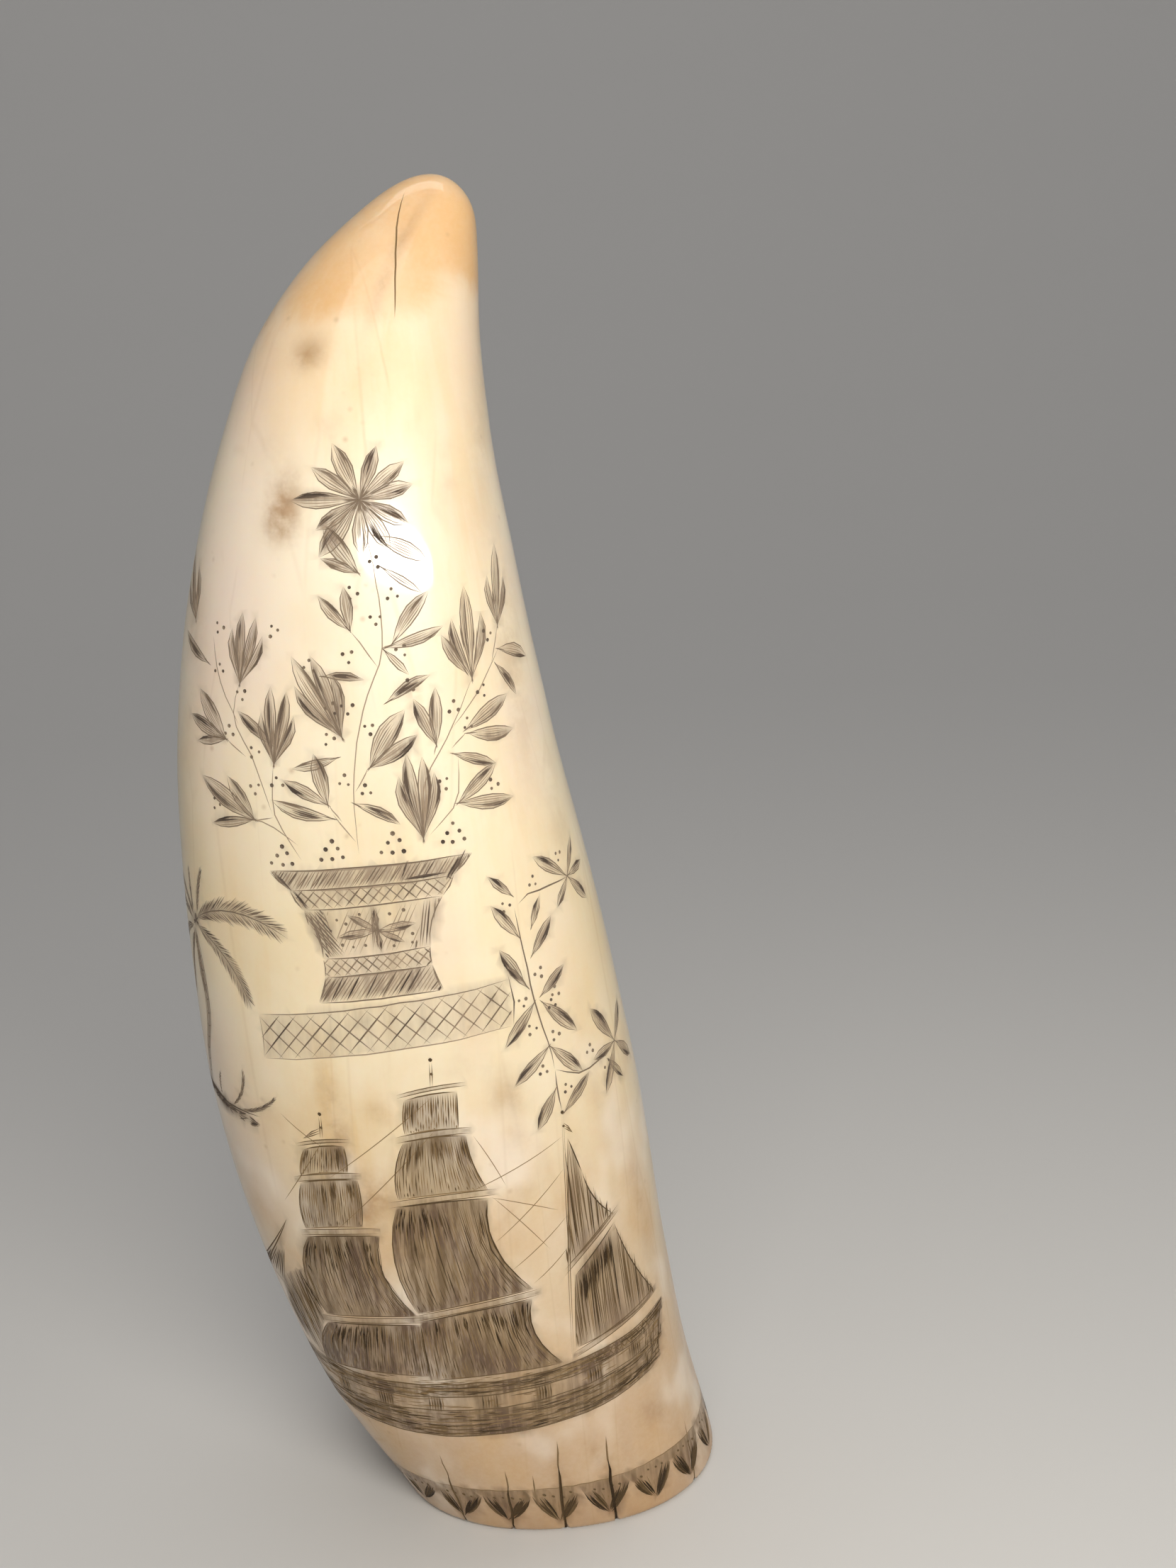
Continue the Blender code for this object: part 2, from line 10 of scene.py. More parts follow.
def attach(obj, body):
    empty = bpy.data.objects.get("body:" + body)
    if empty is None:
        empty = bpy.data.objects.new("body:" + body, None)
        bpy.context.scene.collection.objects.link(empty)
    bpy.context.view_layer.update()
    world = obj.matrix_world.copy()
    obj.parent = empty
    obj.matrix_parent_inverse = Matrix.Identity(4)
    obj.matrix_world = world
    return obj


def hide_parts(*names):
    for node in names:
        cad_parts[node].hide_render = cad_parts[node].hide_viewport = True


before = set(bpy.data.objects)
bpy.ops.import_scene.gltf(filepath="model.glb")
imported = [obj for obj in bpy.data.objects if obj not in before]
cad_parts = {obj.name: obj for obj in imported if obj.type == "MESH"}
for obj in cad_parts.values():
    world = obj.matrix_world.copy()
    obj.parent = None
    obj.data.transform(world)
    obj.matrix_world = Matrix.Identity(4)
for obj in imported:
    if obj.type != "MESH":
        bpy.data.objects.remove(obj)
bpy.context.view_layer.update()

mm = 0.001

# the tooth: lengths in mm unless noted, colours linear
whaleTooth = {
    "seed": 41,
    "squareness": 2.15,        # superellipse exponent of every section
    "ovalSteps": 3000,         # along each half of the unit oval
    "taperFrom": 0.79,         # share of the height where the way up turns to the slant
    "rimRadius": 1.0,
    "undulation": 0.09,        # hand polish leaves the surface very slightly uneven
    "waves": 14,
    "waveLengths": (11, 42),
    "cell": 1.35,              # spacing of the plain skin's points
    "tipReach": 45.0,          # over this distance from the tip they close up
    "drawingMiddle": -7.0,     # where the drawing's own zero lies across the tooth
    "seamMargin": 0.6,         # strokes stay this far from the seam at the back
    "cutDepth": (0.32, 0.015),     # share of a stroke's width, and what is added to it
    "hairline": 0.155,         # strokes up to this width only mark the surface
    "finestJoin": 0.004,       # stroke points closer than this fall together
    "leakShare": 0.2,          # an outline that claims more of the skin than this is open
    "weldReach": 0.05,         # points of the two sides this close are one
    "scattered": 16,           # seeded age patches of each colour
    # heights in metres over which a finish starts or ends
    "boneBand": (0.075, 0.125),
    "capFade": (0.128, 0.156),
    "capEdge": (0.1495, 0.1525),
    "tanBand": (0.0, 0.085),
    "shipGround": (0.05, 0.075),
    "brownBelow": (0.056, 0.068),      # ink in the polish is brown round the ship, grey above
    "ivoryIor": 1.54,
    "cream": (0.80, 0.675, 0.455, 1),
    "pale": (0.86, 0.78, 0.60, 1),
    "rosy": (0.79, 0.635, 0.545, 1),
    "honey": (0.78, 0.56, 0.27, 1),
    "bone": (0.90, 0.81, 0.665, 1),
    "blanched": (0.86, 0.765, 0.65, 1),
    "capOrange": (0.72, 0.435, 0.195, 1),
    # brown of the age marks, also used for the painted shade at the sawn rim
    "ageBrownAndShade": (0.36, 0.20, 0.085, 1),
    "tan": (0.53, 0.36, 0.22, 1),
    "oldPolish": (0.55, 0.34, 0.15, 1),
    "hazeGrey": (0.215, 0.152, 0.105, 1),
    "hazeBrown": (0.152, 0.092, 0.036, 1),
    "hazeRust": (0.112, 0.060, 0.028, 1),
    # heavy, full, soft and faint ink
    "greyInks": ((0.072, 0.052, 0.039, 1), (0.122, 0.088, 0.064, 1), (0.200, 0.147, 0.102, 1),
                 (0.32, 0.24, 0.165, 1)),
    "brownInks": ((0.042, 0.025, 0.011, 1), (0.078, 0.048, 0.021, 1), (0.134, 0.085, 0.039, 1),
                  (0.23, 0.150, 0.072, 1)),
    "sawnPale": (0.74, 0.64, 0.47, 1),
    "sawnCore": (0.55, 0.40, 0.22, 1),
    "pulpBrown": (0.30, 0.19, 0.09, 1),
}


# form of the tooth, read from the solid
def smoothThrough(knots, values, at):
    # cubic through the knots with their neighbours' slopes
    knots, values = np.asarray(knots, float), np.asarray(values, float)
    slopes = np.gradient(values, knots)
    place = np.clip(np.searchsorted(knots, at, side="right") - 1, 0, len(knots) - 2)
    span = knots[place + 1] - knots[place]
    s = (at - knots[place]) / span
    return ((1 + 2 * s) * (1 - s) ** 2 * values[place] + s * (1 - s) ** 2 * span * slopes[place]
            + s * s * (3 - 2 * s) * values[place + 1] - s * s * (1 - s) * span * slopes[place + 1])


def solidCorners(node):
    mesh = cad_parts[node].data
    points = np.empty(len(mesh.vertices) * 3)
    mesh.vertices.foreach_get("co", points)
    mesh.calc_loop_triangles()
    faces = np.empty(len(mesh.loop_triangles) * 3, int)
    mesh.loop_triangles.foreach_get("vertices", faces)
    return points.reshape(-1, 3) / mm, faces.reshape(-1, 3)


def sliceSolid(points, faces, height):
    # widest extent of the horizontal slice: left, right, half depth
    edges = np.concatenate([faces[:, [0, 1]], faces[:, [1, 2]], faces[:, [2, 0]]])
    a, b = points[edges[:, 0]], points[edges[:, 1]]
    crossing = (a[:, 2] - height) * (b[:, 2] - height) < 0
    a, b = a[crossing], b[crossing]
    s = ((height - a[:, 2]) / (b[:, 2] - a[:, 2]))[:, None]
    cuts = a + s * (b - a)
    return cuts[:, 0].min(), cuts[:, 0].max(), np.abs(cuts[:, 1]).max()


def readForm(node):
    points, faces = solidCorners(node)
    height = points[:, 2].max()
    apex = points[points[:, 2] > height - 0.01].mean(axis=0)
    levels = (0.018, 0.085, 0.19, 0.325, 0.47, 0.62, 0.74, 0.835, 0.905, 0.95, 0.978)
    knots, middles, squares, depths = [], [], [], []
    for share in levels:
        at = share * height
        reach = min(3.0, 0.45 * (height - at), 0.5 * at)
        found = np.array([sliceSolid(points, faces, at + shift)
                          for shift in np.linspace(-reach, reach, 9)])
        left, right, depth = found.mean(axis=0)
        knots.append(at)
        middles.append((left + right) / 2)
        squares.append(((right - left) / 2) ** 2)
        depths.append(2 * depth / (right - left))
    knots.append(height)
    middles.append(apex[0])
    squares.append(0.0)
    depths.append(depths[-1])
    inner = points[points[:, 2] < 0.01]
    ring = np.hypot((inner[:, 0] - middles[0]) / math.sqrt(squares[0]),
                    inner[:, 1] / (math.sqrt(squares[0]) * depths[0]))
    mouth = inner[ring < 0.8]      # the pulp cavity's edge on the sawn base
    halves = np.sqrt(np.maximum(np.interp(points[:, 2], knots, squares), 1e-6))
    shares = np.hypot((points[:, 0] - np.interp(points[:, 2], knots, middles)) / halves,
                      points[:, 1] / (depths[0] * halves))
    hollow = points[(shares < 0.7) & (points[:, 2] > 1.0) & (points[:, 2] < 0.5 * height)]
    top = hollow[hollow[:, 2] > hollow[:, 2].max() - 0.05]
    cavity = {
        "middle": (mouth[:, 0].min() + mouth[:, 0].max()) / 2,
        "half": (mouth[:, 0].max() - mouth[:, 0].min()) / 2,
        "depth": mouth[:, 1].max(),
        "height": hollow[:, 2].max(),
        "topMiddle": top[:, 0].mean(),
    }
    return {"height": height, "knots": np.array(knots), "middles": np.array(middles),
            "squares": np.array(squares), "flatness": float(np.mean(depths)), "cavity": cavity}


form = readForm("whale_tooth")
print("form read: height %.1f mm, flatness %.3f, cavity %.1f mm deep"
      % (form["height"], form["flatness"], form["cavity"]["height"]))


def section(height):
    height = np.asarray(height, float)
    middle = smoothThrough(form["knots"], form["middles"], height)
    half = np.sqrt(np.maximum(smoothThrough(form["knots"], form["squares"], height), 0.0))
    radius = whaleTooth["rimRadius"]
    rim = np.clip(radius - height, 0.0, radius)
    return middle, half - (radius - np.sqrt(radius ** 2 - rim ** 2))


def unitOval():
    turn = np.linspace(-math.pi, math.pi, 2 * whaleTooth["ovalSteps"] + 1) - math.pi / 2
    power = 2 / whaleTooth["squareness"]
    across = np.sign(np.cos(turn)) * np.abs(np.cos(turn)) ** power
    along = np.sign(np.sin(turn)) * np.abs(np.sin(turn)) ** power * form["flatness"]
    length = np.concatenate([[0], np.cumsum(np.hypot(np.diff(across), np.diff(along)))])
    return (length - length[-1] / 2) / (length[-1] / 2), across, along, length[-1] / 2


ovalShare, ovalAcross, ovalDepth, ovalHalfGirth = unitOval()


def climbTable():
    # the way up the surface: the height itself, then the slant of the tapering tip
    heights = np.linspace(0, form["height"], 6001)
    slanted = np.hypot(np.diff(heights), np.diff(section(heights)[1]))
    taper = whaleTooth["taperFrom"] * form["height"]
    steps = np.where(heights[1:] > taper, slanted, np.diff(heights))
    return heights, np.concatenate([[0], np.cumsum(steps)])


heightTable, climbOf = climbTable()
topClimb = climbOf[-1]


def halfGirthAt(climb):
    return float(section(np.interp(climb, climbOf, heightTable))[1]) * ovalHalfGirth


def makeUndulation():
    # a few long slanting waves in space, so that they meet at the back seam
    rng = random.Random(whaleTooth["seed"])
    waves = []
    for _ in range(whaleTooth["waves"]):
        heading = Vector((rng.gauss(0, 1), rng.gauss(0, 1), 0.45 * rng.gauss(0, 1))).normalized()
        length = rng.uniform(*whaleTooth["waveLengths"])
        waves.append((np.array(heading) * 2 * math.pi / length, rng.uniform(0, 6.28),
                      length / whaleTooth["waveLengths"][1]))
    return waves


undulation = makeUndulation()


def wrap(wayRound, climb):
    height = np.interp(climb, climbOf, heightTable)
    middle, half = section(height)
    girth = np.maximum(half * ovalHalfGirth, 1e-9)
    share = np.clip(wayRound / girth, -1.0, 1.0)
    across = half * np.interp(share, ovalShare, ovalAcross)
    along = half * np.interp(share, ovalShare, ovalDepth)
    place = np.stack([middle + across, along, height], axis=-1)
    swell = sum(weight * np.sin(place @ wave + phase) for wave, phase, weight in undulation)
    fade = np.clip(height / 12, 0, 1) * np.clip((form["height"] - height) / 6, 0, 1)
    peak = 2.2      # the waves seldom add up to more
    grow = 1 + whaleTooth["undulation"] * fade * (swell - peak) / (peak * np.maximum(half, 4.0))
    return np.stack([middle + across * grow, along * grow, height], axis=-1)


def outward(wayRound, climb):
    step = 0.04
    climb = np.minimum(climb, topClimb - 0.25)
    high, low = climb + step, np.maximum(climb - step, 0.0)
    normal = np.cross(wrap(wayRound + step, climb) - wrap(wayRound - step, climb),
                      wrap(wayRound, high) - wrap(wayRound, low))
    normal = normal / np.maximum(np.linalg.norm(normal, axis=1, keepdims=True), 1e-12)
    return normal


# engraving: every stroke is a tapered V cut with its own width and tone
rng = random.Random(whaleTooth["seed"])
vary = rng.uniform
strokes, washes, tints = [], [], []
inkNow = "grey"      # ink family of the motif in hand


def onPlane(x, z):
    # place on the unrolled skin, kept clear of the seam at the back
    z = min(max(z, 0.0), form["height"] - 0.5)
    climb = float(np.interp(z, heightTable, climbOf))
    limit = halfGirthAt(climb) - whaleTooth["seamMargin"]
    across = x + whaleTooth["drawingMiddle"] - float(section(z)[0])
    return Vector((min(max(across, -limit), limit), climb))


def cut(points, width, tone, blunt=False):
    # points are (x across, z up) in the drawing's own mm
    path = [onPlane(x, z) for x, z in points]
    if len(path) == 2:
        path = [path[0], path[0].lerp(path[1], 0.3), path[0].lerp(path[1], 0.7), path[1]]
    last = len(path) - 1
    swell = [math.sin(math.pi * k / last) ** 0.45 if 0 < k < last else 0.0
             for k in range(last + 1)]
    if blunt:
        swell[0] = 0.8
    halves = [width / 2 * share for share in swell]
    slope, least = whaleTooth["cutDepth"]
    strokes.append((path, halves, slope * width + least, tone, inkNow))


def wash(points, radius, amount):
    # thin stain left where ink was rubbed over a shape
    washes.append(([onPlane(x, z) for x, z in points], radius, amount))


def tint(corners, amount):
    # even stain inside an outline, where ink stayed in the scratched ground
    tints.append((np.array([onPlane(x, z) for x, z in corners]), amount))


def tintStrip(top, foot, amount):
    # the same, between two lines that run the same way
    tint(list(top) + list(foot)[::-1], amount)


def between(a, b, s):
    return (a[0] + s * (b[0] - a[0]), a[1] + s * (b[1] - a[1]))


def polar(middle, reach, angle):
    return (middle[0] + reach * math.cos(angle), middle[1] + reach * math.sin(angle))


def bowed(start, end, sag, s0=0.0, s1=1.0, count=None, peak=1.0):
    # points from share s0 to s1 of an arc that bows to its left, most at its middle or, with a
    # larger peak, past it
    length = math.dist(start, end)
    if count is None:
        count = max(3, min(9, int(length * (s1 - s0) / 1.6) + 2))
    side = ((start[1] - end[1]) / length, (end[0] - start[0]) / length)
    points = []
    for k in range(count):
        s = s0 + (s1 - s0) * k / (count - 1)
        bow = sag * 4 * s ** peak * (1 - s ** peak)
        x, z = between(start, end, s)
        points.append((x + bow * side[0], z + bow * side[1]))
    return points


def curve(knots, spacing=1.8):
    knots = np.array(knots, float)
    reach = np.concatenate([[0], np.cumsum(np.hypot(*np.diff(knots, axis=0).T))])
    at = np.linspace(0, reach[-1], max(3, round(reach[-1] / spacing)) + 1)
    return list(zip(smoothThrough(reach, knots[:, 0], at), smoothThrough(reach, knots[:, 1], at)))


def jitter(point, by):
    return (point[0] + vary(-by, by), point[1] + vary(-by, by))


def dot(x, z, radius, tone):
    middle, sides = onPlane(x, z), 7
    ring = [middle + Vector((math.cos(t), math.sin(t))) * radius
            for t in (2 * math.pi * k / sides for k in range(sides))]
    strokes.append((middle, ring, 0.6 * radius, tone, inkNow))


def triad(x, z, size, heading):
    # three pricked dots
    for turn in (0, 120, 240):
        angle = math.radians(heading + turn + vary(-14, 14))
        reach = size * vary(0.8, 1.1)
        dot(*polar((x, z), reach, angle), vary(0.17, 0.25), 0.72 * vary(0.7, 1.1))


def leaf(base, tip, full, dark, tone, bend=0.0, peak=1.15):
    # two fine edges, lengthwise shading, and a darker run along one side to the tip
    length = math.dist(base, tip)
    left, right = length * (0.82 * full + bend), -length * (0.82 * full - bend)
    edges = [bowed(base, tip, sag, 0, 1, None, peak) for sag in (left, right)]
    for edge in edges:
        cut(edge, 0.15, tone)
    cut([between(base, tip, s) for s in (-0.07, 0, 0.1, 0.22)], 0.15, tone)
    lines = max(2, round((left - right) / 0.34))
    for k in range(lines):
        share = (k + 1) / (lines + 1)
        start, stop = vary(0.03, 0.25), vary(0.7, 0.98)
        cut(bowed(jitter(base, 0.05), jitter(tip, 0.08), right + share * (left - right),
                  start, stop, None, peak), vary(0.09, 0.15), tone * vary(0.5, 1.05))
    tint(edges[0] + edges[1][-2:0:-1], vary(0.12, 0.4) + 0.15 * dark)
    if dark > 0:
        side = rng.choice((0.16, 0.3, 0.7, 0.84))
        for k in range(round(3 * dark) + 1):
            share = side + 0.09 * (k - 1.5)
            start = vary(0.3, 0.6)
            cut(bowed(base, tip, right + share * (left - right), start, vary(0.84, 0.97), None,
                      peak), vary(0.14, 0.22), min(1.0, tone + vary(0.1, 0.4) * dark))
        near, first = right if side < 0.5 else left, vary(0.15, 0.5)
        tintStrip(bowed(base, tip, near, first, 1, 6, peak),
                  bowed(base, tip, vary(-0.2, 0.3) * near, first + 0.08, 0.96, 5, peak),
                  vary(0.2, 0.4) + 0.3 * dark)


def sliver(base, tip):
    # narrow leaf, dark along its middle
    length, bend = math.dist(base, tip), 0.05
    leaf(base, tip, 0.12, 0.2, 0.55, bend)
    for k in (-1, 0, 1):
        start = vary(0.15, 0.4)
        cut(bowed(base, tip, length * (bend + 0.028 * k), start, start + vary(0.35, 0.55), 4),
            vary(0.15, 0.25), 0.75)


def bud(base, tip, petals, spread):
    # half-open flower: narrow pointed petals that part toward their tips
    tone = 0.56
    length = math.dist(base, tip)
    heading = math.atan2(tip[1] - base[1], tip[0] - base[0])
    for k in range(petals):
        across = 2 * k / (petals - 1) - 1
        reach = length * (1 - 0.3 * abs(across) ** 1.5) * vary(0.9, 1.04)
        angle = heading - spread * across * 1.12
        leaf(base, polar(base, reach, angle), 0.095, vary(0.1, 0.8), tone, -0.075 * across, 1.5)
    for _ in range(2 * petals):      # shading between the petals, low in the cup
        across = vary(-0.8, 0.8)
        angle, start = heading - spread * across, vary(0.1, 0.3)
        cut(bowed(base, polar(base, length, angle), -0.07 * length * across, start,
                  start + vary(0.15, 0.3), 4), vary(0.12, 0.18), tone * vary(0.7, 1.2))


def star(middle, radius, petals, first, full, tone):
    # open flower of pointed petals, seen from the front
    for k in range(petals):
        heading = math.radians(first + vary(-7, 7)) + 2 * math.pi * k / petals
        outer = radius * (1.0 if k % 2 else 0.84) * vary(0.86, 1.08)
        leaf(polar(middle, 0.05 * radius, heading), polar(middle, outer, heading),
             full * vary(0.85, 1.15), rng.choice((0.3, 0.7, 1.0, 1.0)), tone, 0, 1.3)
        for _ in range(2):      # strokes that meet at the heart
            angle = heading + vary(-0.2, 0.2)
            cut([middle, polar(middle, 0.2 * radius, angle)], 0.16, tone + 0.1)
    tint([polar(middle, 0.22 * radius, 0.7 * k) for k in range(9)], 0.45)


def hatch(corners, spacing, heading, width, tone, skip=0.0, wander=0.1):
    # parallel strokes clipped to a convex outline
    angle = math.radians(heading)
    ray, side = (math.cos(angle), math.sin(angle)), (-math.sin(angle), math.cos(angle))
    offsets = [x * side[0] + z * side[1] for x, z in corners]
    at = min(offsets) + spacing * 0.5
    while at < max(offsets):
        hits = []
        for (x0, z0), (x1, z1) in zip(corners, corners[1:] + corners[:1]):
            p, q = x0 * side[0] + z0 * side[1] - at, x1 * side[0] + z1 * side[1] - at
            if p * q < 0:
                s = p / (p - q)
                hits.append((x0 + s * (x1 - x0), z0 + s * (z1 - z0)))
        if len(hits) == 2 and math.dist(*hits) > 0.35 and rng.random() >= skip:
            if (hits[1][0] - hits[0][0]) * ray[0] + (hits[1][1] - hits[0][1]) * ray[1] < 0:
                hits.reverse()
            cut([jitter(hits[0], wander), jitter(hits[1], wander)],
                width * vary(0.8, 1.3), tone * vary(0.7, 1.2))
        at += spacing * vary(0.85, 1.15)


stemKnots = (
    ((1, 90.6), (1, 98), (2.6, 106), (5.4, 113), (5.3, 121), (4.4, 127.5)),
    ((8.2, 90.8), (9, 98), (12.5, 103.5), (15.6, 108.8)),
    ((-5.6, 90.3), (-8.4, 96), (-8, 101.3)),
    ((-8.6, 95.6), (-10.6, 102), (-12.6, 107), (-11.4, 110.3)),
    ((9, 92), (12.4, 95.4), (13, 100.4)),
    ((0.8, 92), (-1.6, 95.4)),
    ((12.5, 103.5), (16, 107), (19.8, 111.8)),
    ((-12, 105.6), (-14.4, 111), (-15, 115.5)),
    ((-5.8, 92), (-9.6, 94.6), (-13.4, 95.2)),
    ((1.2, 97.6), (3, 100.4)), ((2, 115.5), (3.4, 113.4), (4.9, 111)), ((5.4, 113.2), (6.5, 113.5)),
    ((-11.4, 102), (-14, 104.1)), ((-8.6, 95.2), (-11.2, 94.9)), ((12.3, 101.4), (14.3, 103)),
    ((10.2, 100.9), (10.6, 102.1)), ((-0.6, 94.4), (-2, 96.5)), ((18.4, 110), (20, 114.3)),
)
bouquetLeaves = (   # base, tip, fullness, darkness, bend
    ((3.5, 121.5), (0, 127), 0.19, 0.3, 0.03), ((3.5, 121.5), (-0.6, 123.4), 0.16, 0.5, 0),
    ((5.6, 125.4), (11.4, 122.2), 0.17, 0, 0.02), ((6, 122), (10.4, 118.8), 0.1, 0, 0),
    ((2, 115.4), (-1.2, 119.4), 0.16, 0.5, 0.03), ((2.1, 115.4), (1.7, 120.2), 0.18, 0.4, 0),
    ((6.6, 113.6), (11.2, 119), 0.15, 0.2, 0.04), ((5.8, 113.2), (12.6, 115), 0.12, 0.1, -0.04),
    ((5.6, 113), (8.2, 110), 0.14, 0, 0), ((15, 109.4), (12.2, 114), 0.16, 0.3, 0.03),
    ((-8, 103.4), (-12, 107.2), 0.15, 1, 0), ((-14, 104), (-18, 109.6), 0.2, 0.5, 0),
    ((-14, 104), (-20.2, 106.6), 0.16, 0.8, 0), ((-14, 104), (-19, 103.6), 0.13, 0.6, 0),
    ((-11, 95), (-18.6, 99.7), 0.16, 0.6, 0), ((-11, 95), (-14.4, 99.9), 0.19, 0.4, 0),
    ((-11, 95), (-17.4, 94.3), 0.12, 0.9, 0), ((-2, 96.4), (-7, 99.4), 0.16, 1, 0),
    ((-2, 96.4), (-3.2, 102.2), 0.19, 0.5, 0), ((-0.4, 101.6), (-5.8, 100.6), 0.13, 0.1, 0.03),
    ((3, 100.2), (7.4, 106.3), 0.2, 0.4, 0.04), ((3, 100.2), (8.6, 103.4), 0.17, 0.9, -0.03),
    ((10.6, 102), (8.4, 107.4), 0.17, 0.9, 0), ((10.6, 102), (11, 108.4), 0.15, 0.8, 0),
    ((14.2, 103.2), (20.4, 106.4), 0.17, 0.3, 0), ((14.4, 102.8), (20.8, 102.4), 0.17, 0.2, -0.05),
    ((12.4, 100.8), (17.8, 98.9), 0.14, 0.5, 0), ((12.6, 95.2), (17.8, 99), 0.16, 0.7, 0),
    ((12.6, 95.2), (19.8, 94.8), 0.15, 0.6, -0.03), ((19.6, 111.6), (25.4, 110), 0.17, 0.5, 0.06),
)
bouquetSlivers = (
    ((-1.5, 110.6), (3.2, 109.9)), ((5.4, 107.2), (10.6, 109.8)), ((-1.4, 94.8), (-8.6, 97.2)),
    ((0.9, 96.4), (5.9, 93.6)), ((19, 110), (22, 106)), ((-16, 112.4), (-21.4, 116)),
)
bouquetBuds = (     # base, tip, petals, spread
    ((-11.4, 110.2), (-9.2, 118.8), 4, 0.3), ((-7.9, 101.2), (-6.4, 110.4), 4, 0.3),
    ((15.6, 108.8), (15.5, 119.7), 3, 0.24), ((20, 114.2), (20.9, 123.2), 3, 0.24),
    ((0.2, 103.8), (-4.0, 113.8), 4, 0.26), ((8.3, 91.8), (8, 102.2), 4, 0.24),
    ((-18.6, 117.2), (-20.8, 125.4), 3, 0.3),
)
triadSpots = (
    (7, 119, 90), (5, 116.4, -90), (7.6, 112.8, 60), (-2.8, 111.8, 200), (1.5, 112.6, 30),
    (-13.9, 116.4, 0), (-14.3, 111.8, 90), (-11.2, 109, 30), (-13.5, 104.9, 90),
    (-10.3, 102.6, 0), (18.2, 113.4, 20), (16.8, 107.2, 60), (13, 105.9, 90), (1.1, 107, -90),
    (3.3, 104.5, 30), (-1.3, 103.6, 120), (-7.7, 99.1, 90), (2.4, 97.8, -30), (11.1, 97.6, -80),
    (14.6, 103.9, 90), (-16.5, 96.5, 0), (5.4, 122.6, 60), (2.6, 119.4, 0), (-6.6, 115.8, 0),
    (0, 99, 200), (17.2, 96.6, 0), (-0.8, 107, 180), (8, 108.8, 90), (-10.6, 98.6, 30),
)


def drawBouquet():
    for knots in stemKnots:
        cut([jitter(point, 0.05) for point in curve(knots)], 0.14, 0.42)
    for base, tip, full, dark, bend in bouquetLeaves:
        leaf(base, tip, 0.92 * full, dark, 0.54, bend)
    for base, tip in bouquetSlivers:
        sliver(base, tip)
    for base, tip, petals, spread in bouquetBuds:
        bud(base, tip, petals, spread)
    star((4.2, 129.4), 7.5, 11, 8, 0.17, 0.54)
    for x, z, heading in triadSpots:
        triad(x, z, 0.66, heading)
    # dot clusters that stand on the rim like berries
    for x, z in ((-8, 90.0), (-2.1, 90.4), (4.8, 90.7), (11.6, 91.1)):
        for dx, dz in ((-1.2, 0), (0.05, -0.1), (1.25, 0), (-0.55, 1.0), (0.75, 1.1), (0.1, 2.0)):
            dot(x + dx + vary(-0.12, 0.12), z + dz + vary(-0.1, 0.1),
                vary(0.21, 0.29), vary(0.55, 0.85))


urn = {
    "middle": 2.0, "rise": 0.045,     # its bands rise a little to the right
    # height, half width and share of the rise, from the rim down to the foot
    "levels": ((89.3, 11.7, 0.25), (87.1, 9.4, 0.4), (84.9, 7.9, 0.7), (79.2, 6.1, 1),
               (77.1, 6.1, 1), (74.1, 7.1, 0.8)),
    "bow": (0.1, 0.15, -0.55, -0.1, -0.1),      # how far each side swells outward
}


def urnPoint(side, level):
    height, half, share = urn["levels"][level]
    x = urn["middle"] + side * half
    return (x, height + urn["rise"] * share * (x - urn["middle"]))


def urnBand(top, foot):
    return [urnPoint(-1, top), urnPoint(1, top), urnPoint(1, foot), urnPoint(-1, foot)]


